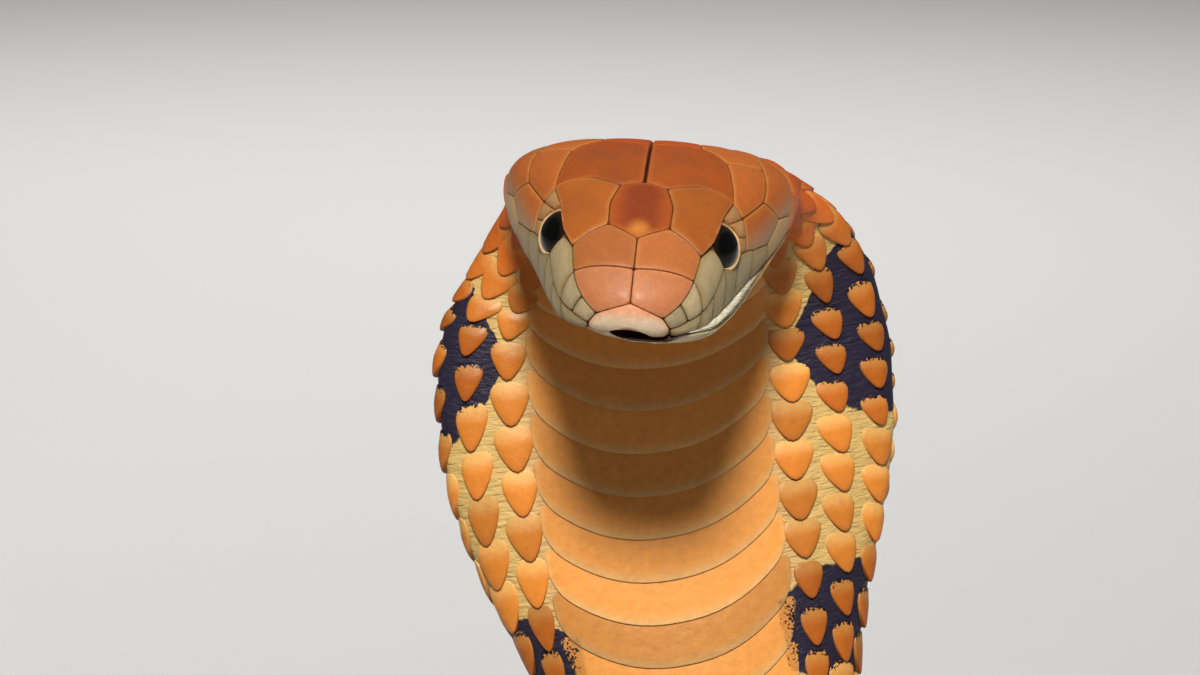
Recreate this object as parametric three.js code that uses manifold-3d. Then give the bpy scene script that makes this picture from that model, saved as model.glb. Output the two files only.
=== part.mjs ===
// A king cobra at life size, as a still model: the neck reared up with the hood spread,
// the head looking forward, and the rest of the body lying in a loose coil on the floor.
// Millimetres, +Z up. The snake faces -Y, and its left side is +X. The origin is on the floor,
// under the belly, just where the neck leaves the floor.
// A length s runs along the body from the snout (0) to the tip of the tail (LENGTH).
// An angle phi goes round the body: 0 is the back, +90 degrees the snake's left, 180 the belly.

import * as THREE from "three";
import { mergeVertices } from "three/addons/utils/BufferGeometryUtils.js";
import Module from "manifold-3d";

const wasm = await Module();
wasm.setup();

const { smoothstep, degToRad, clamp } = THREE.MathUtils;

// Driving dimensions.
const LENGTH = 3200;
const VENT = 2560;
const GAP = 0.3;
const STEP = 1;
const TOLERANCE = 0.04; // the surface may move by this much where facets are merged
const WELD = 0.008; // corners closer together than this become one

// The pose of the reared part: pitch of the head, where the nape bends, how far the hood leans
// back past the vertical, and where the neck comes down to the floor.
const HEAD_PITCH = 15;
const HOOD_LEAN = 6;
const NAPE = [46, 146];
const BASE = [490, 685];
const ORIGIN_AT = 700;

// The sideways lean of the reared part, and the yaw and roll of the head and of the hood.
const LEAN = -37;
const LEAN_ENDS = [125, 395];
const HEAD_YAW = 4.5;
const YAW_ENDS = [65, 95]; // the nape turns into the head's yaw between these lengths
const HEAD_SHIFT = 3.3;
const HEAD_ROLL = 3.4;
const HOOD_TURN = 8;

// The lengths of the body on the floor: length, turn in degrees, clockwise from above.
const FLOOR_BENDS = [
  [20, 0],
  [245, 180],
  [95, 0],
  [185, 92],
  [190, 88],
  [75, 0],
  [500, 182],
  [75, 0],
  [590, 168],
  [140, 6],
  [270, 84],
  [160, -46],
];
const BEND_BLEND = 45;
const FLOOR_SHARE = 0.95; // height of the centreline over the floor, as a share of its depth

// Cross-sections: length s, half width, top, height of the widest place, bottom, and how square
// the upper and the lower half are (2 is an ellipse). Heights are from the centreline.
const SECTIONS = [
  [0, 13, 5, -4, -8.5, 2.3, 2.2],
  [4, 14.2, 6.2, -4, -10, 2.3, 2.2],
  [10, 16.6, 8.6, -4.5, -12, 2.35, 2.2],
  [18, 19.3, 11.3, -4.5, -14, 2.45, 2.25],
  [26, 21.6, 13.4, -4.5, -15.5, 2.55, 2.3],
  [35, 24.4, 14.9, -4, -17, 2.6, 2.35],
  [45, 28.2, 15.2, -3, -18.5, 2.6, 2.4],
  [56, 31.6, 14, -2, -19.5, 2.6, 2.4],
  [66, 33.6, 12, -1.5, -19, 2.5, 2.4],
  [78, 34.2, 10.6, -1, -17, 2.3, 2.3],
  [86, 34.6, 10.6, -0.5, -14.8, 2.1, 2.2],
  [96, 38.5, 11.4, -0.5, -12.8, 1.95, 2.1],
  [110, 46.8, 12.4, -1, -12, 1.85, 2],
  [126, 54.6, 12.8, -1.5, -12, 1.8, 2],
  [142, 57.8, 12.8, -1.5, -12, 1.8, 2],
  [158, 57.6, 13, -1.5, -12.2, 1.8, 2],
  [174, 55.2, 13.6, -1.5, -12.8, 1.85, 2],
  [190, 50.8, 14.5, -1, -13.8, 1.9, 2],
  [210, 43.8, 16.5, -0.5, -15.5, 2, 2.05],
  [235, 36.8, 19.5, 0, -18, 2.1, 2.1],
  [280, 30.5, 22, 0, -20.5, 2.1, 2.1],
  [330, 27.2, 23.3, 0, -22, 2.1, 2.1],
  [480, 26.5, 24, 0, -23, 2.1, 2.1],
  [700, 28, 25.5, 0, -24, 2.1, 2.1],
  [1300, 31.5, 28.5, -1, -27, 2.1, 2.1],
  [1900, 30.5, 27.5, -1, -26.5, 2.1, 2.1],
  [2350, 26, 23.5, -0.5, -22.5, 2.1, 2.1],
  [2560, 22, 20, 0, -19, 2.1, 2.1],
  [2800, 15, 13.5, 0, -12.5, 2.05, 2.05],
  [3050, 7.6, 7, 0, -6.5, 2, 2],
  [3200, 1.6, 1.5, 0, -1.4, 2, 2],
];
const SNOUT = 10; // length over which the snout closes
const SNOUT_POWER = 2.3;
const SNOUT_TIP = -2; // height of the foremost point
const HEART_HEIGHT = -3; // height inside the head from which its shields are laid out

// Where one node ends and the next begins.
const HEAD_END = 80;
const HOOD_MIDDLE = 158;
const HOOD_END = 250;
const NECK_END = 430;
const BODY_START = 700;
const BODY_COUNT = 7;
const TAIL_COUNT = 3;

// The mouth: length s and height of the line between the lips. The lower jaw starts a little
// behind the snout and is a little narrower than the upper lip.
const MOUTH_LINE = [
  [-5, -6.2],
  [4, -6.6],
  [14, -7.6],
  [30, -8.8],
  [45, -8.6],
  [62, -6.4],
];
const JAW_END = 62;
const JAW_SET_BACK = 2;
const JAW_INSET = 0.7;

const EYE_RADIUS = 6.2;
const EYE_DEPTH = 4.1; // centre of the eyeball under the surface of the head
const EYE_AT = { s: 26.5, phi: 61 };

const NOSTRIL_AT = [11.6, 4.2, -0.4];
const NOSTRIL_RADIUS = 1.5;
const NOSTRIL_DEPTH = 3;
const TONGUE_NOTCH = { halfWidth: 4.6, height: 1.9, length: 5 };

// Corners of the head's shields on the snake's left: distance from the midline, length s, and
// height from the centreline. Each lies close to the surface, and is moved onto it.
const CORNERS = {
  rostralTop: [0, 1, 1.7],
  rostralSide: [6.5, 1.2, -0.4],
  rostralLow: [8.3, 2.2, -3.6],
  nasalTop: [10.3, 4.2, 2.4],
  nasalFoot: [12.2, 4.7, -3.2],
  snoutMid: [0, 7, 7.1],
  snoutSide: [13.2, 9.3, 4.2],
  frontalTip: [0, 15.5, 10.5],
  frontalFront: [6.8, 19.8, 11.4],
  frontalSide: [7, 27, 13.2],
  frontalRear: [5.2, 33.5, 14.6],
  frontalMid: [0, 35.5, 14.9],
  browFront: [14.2, 16.2, 6.9],
  browMiddle: [16.2, 21.5, 7.6],
  browRear: [18.2, 32.3, 10.2],
  browCorner: [20.2, 38.2, 10.4],
  browInner: [12.4, 38, 13.9],
  parietalSide: [19.2, 46.5, 12.5],
  parietalTurn: [17.7, 54, 12.7],
  parietalRear: [11.6, 62.5, 12],
  parietalMid: [0, 60, 13.2],
  occipitalRear: [11, 76, 10.2],
  occipitalMid: [0, 78, 10.6],
  eyeFront: [16.6, 20.2, 6.2],
  eyeLow: [18.9, 20.9, 1.6],
  eyeUnder: [20.4, 25, -0.4],
  eyeBack: [22.6, 31.8, 1.2],
  eyeRear: [22, 32.6, 4.6],
  eyeTop: [20.3, 31.8, 8.4],
  postocular: [23.4, 35.4, 3.6],
  labial1: [14.4, 8, -2.5],
  labial2: [17, 13.8, -1.2],
  labial4: [21.4, 28.4, -0.2],
  labial5: [25, 38, -0.6],
  labial7: [33, 62, -1.8],
  temporalFront: [22.3, 37, 7.2],
  temporalFoot: [24, 34.5, 0.6],
  temporalMiddle: [27, 48, 6.8],
  temporalRear: [26, 60, 9],
  temporalLow: [30.5, 53, 0.6],
  temporalBase: [28, 46, -2.6],
  napeTop: [24, 74, 9],
  napeSide: [31, 70, 4],
};

// Each shield of the snake's left as its corners in order.
const PAIRED_SHIELDS = [
  ["rostralTop", "snoutMid", "snoutSide", "nasalTop", "rostralSide"],
  ["snoutMid", "frontalTip", "frontalFront", "browFront", "snoutSide"],
  [
    "frontalMid",
    "frontalRear",
    "browInner",
    "browCorner",
    "parietalSide",
    "parietalTurn",
    "parietalRear",
    "parietalMid",
  ],
  ["parietalMid", "parietalRear", "occipitalRear", "occipitalMid"],
  ["rostralSide", "nasalTop", "nasalFoot", "rostralLow"],
  ["nasalTop", "snoutSide", "labial1", "nasalFoot"],
  ["snoutSide", "browFront", "eyeFront", "eyeLow", "labial2", "labial1"],
  ["browRear", "browCorner", "temporalFront", "eyeTop"],
  ["eyeTop", "temporalFront", "postocular", "eyeRear"],
  ["eyeRear", "postocular", "temporalFoot", "eyeBack"],
  ["browCorner", "parietalSide", "parietalTurn", "temporalRear", "temporalMiddle", "temporalFront"],
  [
    "temporalFront",
    "temporalMiddle",
    "temporalLow",
    "temporalBase",
    "labial5",
    "temporalFoot",
    "postocular",
  ],
  ["parietalTurn", "parietalRear", "occipitalRear", "napeTop", "temporalRear"],
  ["temporalRear", "napeTop", "napeSide", "labial7", "temporalLow", "temporalMiddle"],
];
const BROW_SHIELD = [
  "frontalFront",
  "frontalSide",
  "frontalRear",
  "browInner",
  "browCorner",
  "browRear",
  "browMiddle",
  "browFront",
];
// The left half of the one shield on the midline of the crown.
const FRONTAL_SHIELD = ["frontalTip", "frontalFront", "frontalSide", "frontalRear", "frontalMid"];
// The shield at the tip of the snout reaches down to the mouth: its corners on the left.
const ROSTRAL_SHIELD = ["rostralTop", "rostralSide", "rostralLow"];
// The upper lip's shields: corners along their tops, and the lengths s of the sutures at the mouth.
const LABIAL_TOPS = [
  ["rostralLow", "nasalFoot", "labial1"],
  ["labial1", "labial2"],
  ["labial2", "eyeLow"],
  ["eyeLow", "eyeUnder", "labial4"],
  ["labial4", "eyeBack", "temporalFoot", "labial5"],
  ["labial5", "temporalBase"],
  ["temporalBase", "temporalLow", "labial7"],
];
const LABIAL_SUTURES = [2.4, 7, 12.6, 19.4, 27, 37, 48, 61.5];
const SHIELD_LIFT = 0.45;
const BROW_LIFT = 0.9;
const SHIELD_ROOT = 0.9;
const SUTURE = [-0.5, 0.35]; // how far inside its outline a shield's root and its rim are
const BASE_INSET = 0.9; // depth of the head's form under the shields
const SHIELDS_END = 74;
const SHIELD_STEP = 7.5;
const WIDE_SHIELD = 7; // reach from the centre past which a shield gets a ring of points inside its rim

// The scutes across the belly: half their width at lengths s along the reared part, the distance from
// one free rear edge to the next, and the bow of those edges, as reach squared over the lag at the ends.
const BELLY_HALF_WIDTH = [
  [84, 20],
  [110, 26],
  [140, 29.5],
  [200, 29.5],
  [260, 27.5],
  [480, 25.5],
  [700, 25],
];
// The belly's midline leans this far to the snake's left on the spread hood.
const BELLY_SHIFT = [
  [90, 0],
  [135, -6],
  [215, -6],
  [330, 0],
];
const SCUTE_PITCH = 10.45;
const FIRST_EDGE = 78; // length s of the free rear edge of the first scute behind the jaw
const SCUTE_BOW = 60;
const SCUTE_LIFT = 0.9;
const SCUTE_ROOT = 2.5;
const SCUTE_SUNKEN = 1.2;
const SCUTE_PARTS = 8; // facets across a scute
const SCUTES_END = 520; // nearer the floor the belly is out of sight

// The scales beside the belly on the spread hood: rows from the belly outwards.
const SIDE_ROWS = 3;
const BACK_ROWS = 17;
const SCALE_ENDS = [104, 262];
const SCALE_LIFT = 0.9;
const SCALE_ROOT = 1.4;
const SCALE_SHARE = [0.84, 0.97]; // width and length of a scale as shares of its cell

// A smooth curve through rows of [s, value, ...] that stays between its rows.
function curveThrough(rows) {
  const columns = rows[0].length - 1;
  const step = rows.slice(1).map((row, k) => row[0] - rows[k][0]);
  const slope = rows.slice(1).map((row, k) => row.map((v, c) => (v - rows[k][c]) / step[k]));
  const tangent = rows.map((row, k) => {
    if (k === 0) return slope[0];
    if (k === rows.length - 1) return slope[k - 1];
    const before = 2 * step[k] + step[k - 1];
    const after = step[k] + 2 * step[k - 1];
    return row.map((_, c) => {
      const [a, b] = [slope[k - 1][c], slope[k][c]];
      return a * b > 0 ? (before + after) / (before / a + after / b) : 0;
    });
  });
  return (s) => {
    let k = rows.findIndex((row) => row[0] > s) - 1;
    if (k < 0) k = s < rows[0][0] ? 0 : rows.length - 2;
    const t = clamp((s - rows[k][0]) / step[k], 0, 1);
    const value = (c) =>
      (2 * t ** 3 - 3 * t ** 2 + 1) * rows[k][c] +
      (t ** 3 - 2 * t ** 2 + t) * step[k] * tangent[k][c] +
      (3 * t ** 2 - 2 * t ** 3) * rows[k + 1][c] +
      (t ** 3 - t ** 2) * step[k] * tangent[k + 1][c];
    return Array.from({ length: columns }, (_, c) => value(c + 1));
  };
}

const sectionRow = curveThrough(SECTIONS);
const mouthRow = curveThrough(MOUTH_LINE);
const mouthHeight = (s) => mouthRow(s)[0];

// The cross-section at s, closed to a point at the snout, or at start for the lower jaw.
function sectionAt(s, start = 0) {
  const [halfWidth, top, widest, bottom, upper, lower] = sectionRow(s);
  const open = 1 - clamp((s - start) / SNOUT, 0, 1);
  const share = (1 - open ** SNOUT_POWER) ** (1 / SNOUT_POWER);
  const closed = (height) => SNOUT_TIP + (height - SNOUT_TIP) * share;
  return {
    halfWidth: halfWidth * share,
    top: closed(top),
    widest: closed(widest),
    bottom: closed(bottom),
    upper,
    lower,
  };
}

// The compass heading of the centreline at each step, in degrees: the bends, with their joints blended.
function headings(count) {
  let heading = new Float64Array(count);
  let from = BASE[1];
  let turned = 0;
  for (const [length, turn] of FLOOR_BENDS) {
    for (let s = from; s < count; s++) heading[s] = turned + turn * Math.min(1, (s - from) / length);
    from += length;
    turned += turn;
  }
  for (let pass = 0; pass < 2; pass++) {
    const sum = [0];
    for (let k = -BEND_BLEND; k < count + BEND_BLEND; k++) {
      sum.push(sum[sum.length - 1] + heading[clamp(k, 0, count - 1)]);
    }
    const width = 2 * BEND_BLEND + 1;
    heading = heading.map((_, s) => (sum[s + width] - sum[s]) / width);
  }
  return heading;
}

// The centreline: at each step a point, and unit vectors to the snake's left, up, and back along the body.
function makeCentreline() {
  const count = LENGTH / STEP + 1;
  const heading = headings(count);
  const rise = (s) => {
    const bent = smoothstep(s, ...NAPE) - smoothstep(s, ...BASE);
    return degToRad(HEAD_PITCH * (1 - smoothstep(s, ...NAPE)) - (90 + HOOD_LEAN) * bent);
  };
  const direction = (s) => {
    const turn = degToRad(heading[s]);
    return new THREE.Vector3(
      Math.sin(turn) * Math.cos(rise(s)),
      Math.cos(turn) * Math.cos(rise(s)),
      Math.sin(rise(s)),
    );
  };
  const points = [new THREE.Vector3()];
  for (let s = 1; s < count; s++) {
    const mean = direction(s - 1).add(direction(s)).multiplyScalar(STEP / 2);
    points.push(points[s - 1].clone().add(mean));
  }
  const base = points[BASE[1]].clone();
  const floorHeight = (s) => -sectionAt(s).bottom * FLOOR_SHARE;
  points.forEach((point, s) => {
    point.sub(base);
    point.z = s < BASE[1] ? point.z + floorHeight(BASE[1]) : floorHeight(s);
    const [yawed, straight] = YAW_ENDS;
    const eased = Math.max(straight - Math.max(s, yawed), 0) ** 2 / (2 * (straight - yawed));
    const yaw = (Math.max(yawed - s, 0) + eased) * Math.tan(degToRad(HEAD_YAW));
    const shift = HEAD_SHIFT * (1 - smoothstep(s, 70, 130));
    point.x += LEAN * (1 - smoothstep(s, ...LEAN_ENDS)) - yaw - shift;
  });
  const origin = points[ORIGIN_AT].clone().setZ(0);
  points.forEach((point) => point.sub(origin));

  return points.map((point, s) => {
    const before = points[Math.max(s - 1, 0)];
    const after = points[Math.min(s + 1, count - 1)];
    const back = after.clone().sub(before).normalize();
    const levelSide = new THREE.Vector3(0, 0, 1).cross(back).negate();
    const rearedSide = new THREE.Vector3(1, 0, 0);
    const side = rearedSide.lerp(levelSide, smoothstep(s, BASE[1] - 30, BASE[1]));
    side.addScaledVector(back, -side.dot(back)).normalize();
    const up = side.clone().cross(back);
    const roll =
      HEAD_ROLL * (1 - smoothstep(s, 60, 110)) -
      HOOD_TURN * smoothstep(s, 75, 135) * (1 - smoothstep(s, 300, 600));
    side.applyAxisAngle(back, degToRad(roll));
    up.applyAxisAngle(back, degToRad(roll));
    return { point, side, up, back };
  });
}

const centreline = makeCentreline();

function frameAt(s) {
  const k = clamp(Math.floor(s), 0, centreline.length - 2);
  const share = clamp(s, 0, LENGTH) - k;
  const [a, b] = [centreline[k], centreline[k + 1]];
  const mixed = (key) => a[key].clone().lerp(b[key], share);
  return { point: mixed("point"), side: mixed("side"), up: mixed("up"), back: mixed("back") };
}

// Sideways and upward distance from the centreline of the surface at phi, in degrees.
function sectionPoint(section, phi) {
  const sine = Math.sin(degToRad(phi));
  const cosine = Math.cos(degToRad(phi));
  const upper = cosine >= 0;
  const power = 2 / (upper ? section.upper : section.lower);
  const height = upper ? section.top - section.widest : section.widest - section.bottom;
  return [
    section.halfWidth * Math.sign(sine) * Math.abs(sine) ** power,
    section.widest + height * Math.sign(cosine) * Math.abs(cosine) ** power,
  ];
}

// A point given by its distances from the centreline at s.
function placed(s, across, height) {
  const { point, side, up } = frameAt(s);
  return point.addScaledVector(side, across).addScaledVector(up, height);
}

function onSkin(s, phi, start = 0) {
  const point = placed(s, ...sectionPoint(sectionAt(s, start), phi));
  if (s > BASE[0]) point.z = Math.max(point.z, 0);
  return point;
}

// The skin's outward direction at a place.
function normalAt(s, phi) {
  const along = onSkin(s + 0.5, phi).sub(onSkin(s - 0.5, phi));
  const around = onSkin(s, phi + 1).sub(onSkin(s, phi - 1));
  return around.cross(along).normalize();
}

function raised(s, phi, lift) {
  return onSkin(s, phi).addScaledVector(normalAt(s, phi), lift);
}

// How far a point of the head lies outside its surface: 0 on it, negative inside.
function outsideHead([across, s, height]) {
  const section = sectionAt(Math.max(s, 0.02));
  const upper = height >= section.widest;
  const reach = upper ? section.top - section.widest : section.widest - section.bottom;
  const power = upper ? section.upper : section.lower;
  const wide = (Math.abs(across) / section.halfWidth) ** power;
  const high = (Math.abs(height - section.widest) / reach) ** power;
  return wide + high - 1;
}

// The point of the head's surface seen from inside the head in the direction of a place [across, s,
// height], raised by lift.
function onHead(place, lift) {
  const heart = [0, Math.max(place[1], SNOUT), HEART_HEIGHT];
  const ray = place.map((value, k) => value - heart[k]);
  const along = (share) => heart.map((value, k) => value + ray[k] * share);
  let [inside, outside] = [0, 3];
  for (let k = 0; k < 30; k++) {
    const share = (inside + outside) / 2;
    if (outsideHead(along(share)) > 0) outside = share;
    else inside = share;
  }
  const hit = along(inside);
  const slope = hit.map((_, k) => {
    const nudge = (by) => outsideHead(hit.map((value, m) => (m === k ? value + by : value)));
    return nudge(0.05) - nudge(-0.05);
  });
  const { side, up, back } = frameAt(hit[1]);
  const normal = side.multiplyScalar(slope[0]);
  normal.addScaledVector(back, slope[1]).addScaledVector(up, slope[2]).normalize();
  return placed(hit[1], hit[0], hit[2]).addScaledVector(normal, lift);
}

// A solid from a loop of points per ring, closed by a fan at each end.
function fromRings(rings, firstPole, lastPole) {
  const sides = rings[0].length;
  const middle = (ring) =>
    ring.reduce((sum, point) => sum.add(point), new THREE.Vector3()).divideScalar(ring.length);
  const points = [firstPole ?? middle(rings[0]), ...rings.flat(), lastPole ?? middle(rings.at(-1))];
  const triangles = [];
  const index = (ring, k) => 1 + ring * sides + (k % sides);
  for (let k = 0; k < sides; k++) {
    triangles.push([0, index(0, k + 1), index(0, k)]);
    triangles.push([points.length - 1, index(rings.length - 1, k), index(rings.length - 1, k + 1)]);
    for (let ring = 0; ring < rings.length - 1; ring++) {
      const [a, b] = [index(ring, k), index(ring, k + 1)];
      const [c, d] = [index(ring + 1, k), index(ring + 1, k + 1)];
      triangles.push([a, b, d], [a, d, c]);
    }
  }
  return solidFrom(points, triangles);
}

// A solid from points and triangles, turned inside out where it needs to be.
function solidFrom(points, triangles) {
  const volume = triangles.reduce(
    (sum, [a, b, c]) => sum + points[a].dot(points[b].clone().cross(points[c])),
    0,
  );
  const faces = volume < 0 ? triangles.map(([a, b, c]) => [a, c, b]) : triangles;
  return new wasm.Manifold(
    new wasm.Mesh({
      numProp: 3,
      vertProperties: new Float32Array(points.flatMap((point) => point.toArray())),
      triVerts: new Uint32Array(faces.flat()),
    }),
  );
}

// A solid from a three.js geometry moved to its place.
function solidFromGeometry(geometry, matrix) {
  const bare = geometry.clone().applyMatrix4(matrix);
  bare.deleteAttribute("normal");
  bare.deleteAttribute("uv");
  const merged = mergeVertices(bare, 1e-4);
  return new wasm.Manifold(
    new wasm.Mesh({
      numProp: 3,
      vertProperties: merged.attributes.position.array,
      triVerts: new Uint32Array(merged.index.array),
    }),
  );
}

const evenly = (from, to, step) => {
  const count = Math.max(1, Math.round((to - from) / step));
  return Array.from({ length: count + 1 }, (_, k) => from + ((to - from) * k) / count);
};

// The surface round the body at s, sunk towards the centreline by a depth that may vary.
function ringAt(s, sides, depth = () => 0, start = 0) {
  const centre = frameAt(s).point;
  return Array.from({ length: sides }, (_, k) => {
    const phi = (360 * k) / sides;
    const point = onSkin(s, phi, start);
    const inward = centre.clone().sub(point).normalize();
    return point.addScaledVector(inward, depth(s, phi));
  });
}

// A length of the body, cut square to the centreline at both ends.
function bodyLength(from, to, step, sides, depth) {
  const stations = evenly(from + GAP / 2, to - GAP / 2, step);
  return fromRings(stations.map((s) => ringAt(s, sides, depth)));
}

// Sections of the skin measured round from the belly's midline: the place at s whose distance
// along the skin from the midline is reach, towards the snake's left where reach is positive.
const ROUND_STEP = 3;
function bellyAngle(s, reach) {
  const section = sectionAt(s);
  const [sign, wanted] = [Math.sign(reach), Math.abs(reach)];
  let [length, last] = [0, sectionPoint(section, 180)];
  for (let turn = ROUND_STEP; turn <= 180; turn += ROUND_STEP) {
    const next = sectionPoint(section, 180 - turn);
    const span = Math.hypot(next[0] - last[0], next[1] - last[1]);
    if (length + span >= wanted) return sign * (180 - turn + ROUND_STEP * (1 - (wanted - length) / span));
    [length, last] = [length + span, next];
  }
  return 0;
}

// Half the way round the skin at s, from the belly's midline to the back's.
function halfGirth(s) {
  const section = sectionAt(s);
  let [length, last] = [0, sectionPoint(section, 180)];
  for (let turn = ROUND_STEP; turn <= 180; turn += ROUND_STEP) {
    const next = sectionPoint(section, 180 - turn);
    length += Math.hypot(next[0] - last[0], next[1] - last[1]);
    last = next;
  }
  return length;
}

const bellyRow = curveThrough(BELLY_HALF_WIDTH);
const bellyHalfWidth = (s) => bellyRow(s)[0];
const shiftRow = curveThrough(BELLY_SHIFT);
const bellyShift = (s) => shiftRow(s)[0];

const sidePoint = (s, reach, lift) => raised(s, reach === 0 ? 180 : bellyAngle(s, reach), lift);
const bellyPoint = (s, reach, lift) => sidePoint(s, reach + bellyShift(s), lift);

// The last free rear edge of a scute at or before s.
const edgeBefore = (s) => FIRST_EDGE + SCUTE_PITCH * Math.floor((s - FIRST_EDGE) / SCUTE_PITCH);

// The belly scutes whose rear edges lie between two lengths: one strip with a free edge on each scute.
function bellyScutes(from, to) {
  const rings = [];
  const across = Array.from({ length: SCUTE_PARTS + 1 }, (_, k) => (2 * k) / SCUTE_PARTS - 1);
  const row = (s, lift) => {
    const bow = (share) => s - (share * bellyHalfWidth(s)) ** 2 / SCUTE_BOW;
    const point = (share, raise) => bellyPoint(bow(share), share * bellyHalfWidth(s), raise);
    const top = across.map((share) => point(share, lift * (1 - 0.6 * share ** 4)));
    const root = [0.96, 0, -0.96].map((share) => point(share, -SCUTE_ROOT));
    return [...top, ...root];
  };
  for (let edge = edgeBefore(from); edge <= to; edge += SCUTE_PITCH) {
    rings.push(row(edge + 1, 0.05), row(edge + SCUTE_PITCH, SCUTE_LIFT));
  }
  return fromRings(rings);
}

// How deep the body's own surface lies under the belly scutes.
function underScutes(s, phi) {
  const reach = 0.85 * bellyHalfWidth(s);
  const left = bellyAngle(s, bellyShift(s) + reach);
  const right = 360 + bellyAngle(s, bellyShift(s) - reach);
  return phi > left && phi < right && s < SCUTES_END - 5 ? SCUTE_SUNKEN : 0;
}

// A scale of the hood's sides: rounded in front, with its tip towards the tail.
function sideScale(s, reach, wide, long) {
  const rim = [
    [-0.45, 0.26],
    [0.08, 0.5],
    [0.5, 0],
    [0.08, -0.5],
    [-0.45, -0.26],
  ];
  const ring = (share, lift) =>
    rim.map(([along, aside]) => sidePoint(s + along * share * long, reach + aside * share * wide, lift));
  return fromRings(
    [ring(1, -SCALE_ROOT), ring(0.88, SCALE_LIFT * 0.8)],
    undefined,
    sidePoint(s, reach, SCALE_LIFT),
  );
}

function sideScales(from, to) {
  const scales = [];
  for (let row = 0; row < SIDE_ROWS; row++) {
    for (let edge = edgeBefore(from); edge < to; edge += SCUTE_PITCH) {
      const place = edge - bellyHalfWidth(edge) ** 2 / SCUTE_BOW - (row % 2) * (SCUTE_PITCH / 2);
      if (place < SCALE_ENDS[0]) continue;
      for (const sign of [-1, 1]) {
        const start = bellyHalfWidth(place) + sign * bellyShift(place);
        const cell = (halfGirth(place) - start) / (BACK_ROWS / 2);
        const reach = sign * (start + cell * (row + 0.5));
        scales.push(sideScale(place, reach, cell * SCALE_SHARE[0], SCUTE_PITCH * SCALE_SHARE[1]));
      }
    }
  }
  return scales;
}

// A length of the body with its belly scutes and side scales, which are cut off square with it.
function scutedLength(from, to, step, sides, withScales) {
  const past = 2 * SCUTE_PITCH;
  const pieces = [bellyScutes(from, Math.min(to + past, SCUTES_END))];
  if (withScales) pieces.push(...sideScales(from - past, to + past));
  const room = slice(from + GAP, to - GAP);
  const plates = wasm.Manifold.union(pieces).intersect(room);
  return bodyLength(from, to, step, sides, underScutes).add(plates);
}

// A block round the body between two lengths, a little wider than the body.
function slice(from, to) {
  const [sides, margin] = [16, 8];
  const rings = evenly(from, to, 20).map((s) =>
    Array.from({ length: sides }, (_, k) => {
      const { halfWidth, top, bottom } = sectionAt(s);
      const turn = (2 * Math.PI * k) / sides;
      const high = Math.cos(turn) > 0 ? top : -bottom;
      return placed(s, Math.sin(turn) * (halfWidth + margin), Math.cos(turn) * (high + margin));
    }),
  );
  return fromRings(rings);
}

// The form of the head, sunk by a depth, or with a set back start that of the lower jaw.
function headForm(depth, start = 0) {
  const sides = 32;
  const rounding = [0.02, 0.08, 0.18, 0.32, 0.5, 0.72].map((share) => start + SNOUT * share);
  const stations = [...rounding, ...evenly(start + SNOUT, HEAD_END - GAP / 2, 4.8)];
  return fromRings(
    stations.map((s) => ringAt(s, sides, depth, start)),
    placed(start, 0, SNOUT_TIP),
  );
}

// A block that holds all below the line of the mouth, lowered by drop, back to end.
function belowMouth(drop, end) {
  const [wide, deep] = [60, 40];
  const rings = evenly(-4, end, 4).map((s) => {
    const height = mouthHeight(s) - drop;
    return [
      placed(s, -wide, height),
      placed(s, wide, height),
      placed(s, wide, -deep),
      placed(s, -wide, -deep),
    ];
  });
  return fromRings(rings);
}

// Steps from one corner to the next, round a shield, in equal parts of about SHIELD_STEP.
function outlineThrough(corners) {
  return corners.flatMap((corner, k) => {
    const next = corners[(k + 1) % corners.length];
    const span = Math.hypot(...corner.map((value, c) => next[c] - value));
    const parts = Math.max(1, Math.round(span / SHIELD_STEP));
    return Array.from({ length: parts }, (_, part) =>
      corner.map((value, c) => value + ((next[c] - value) * part) / parts),
    );
  });
}

// A shield raised on the head, with its root sunk and its rim bevelled.
function shield(corners, lift = SHIELD_LIFT) {
  const outline = outlineThrough(corners).map((corner) => new THREE.Vector3(...corner));
  const at = (k) => outline[(k + outline.length) % outline.length];
  const centre = outline.reduce((sum, p) => sum.add(p), new THREE.Vector3()).divideScalar(outline.length);
  const facing = new THREE.Vector3();
  outline.forEach((p, k) => {
    facing.add(p.clone().sub(centre).cross(at(k + 1).clone().sub(centre)));
  });
  const ring = (inset, raise, share = 1) =>
    outline.map((p, k) => {
      const inward = facing.clone().cross(at(k + 1).clone().sub(at(k - 1))).normalize();
      const moved = p.clone().addScaledVector(inward, inset);
      return onHead(centre.clone().lerp(moved, share).toArray(), raise);
    });
  const rings = [ring(SUTURE[0], -SHIELD_ROOT), ring(SUTURE[1], lift)];
  const reach = Math.max(...outline.map((p) => p.distanceTo(centre)));
  if (reach > WIDE_SHIELD) rings.push(ring(0, lift, 0.5));
  return fromRings(rings, undefined, onHead(centre.toArray(), lift));
}

const cornersOf = (names) => names.map((name) => CORNERS[name]);
const mirrored = (corners) => corners.map(([across, s, height]) => [-across, s, height]);
const bothHalves = (corners) => [...corners, ...mirrored(corners).reverse()].filter(
  ([across], k, all) => across !== 0 || all.findIndex((p) => p[0] === 0 && p[1] === all[k][1]) === k,
);

// The corner at the lip's edge on the suture at s.
function lipCorner(s) {
  const height = mouthHeight(s) + GAP;
  return [sectionAt(s).halfWidth, s, height];
}

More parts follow.
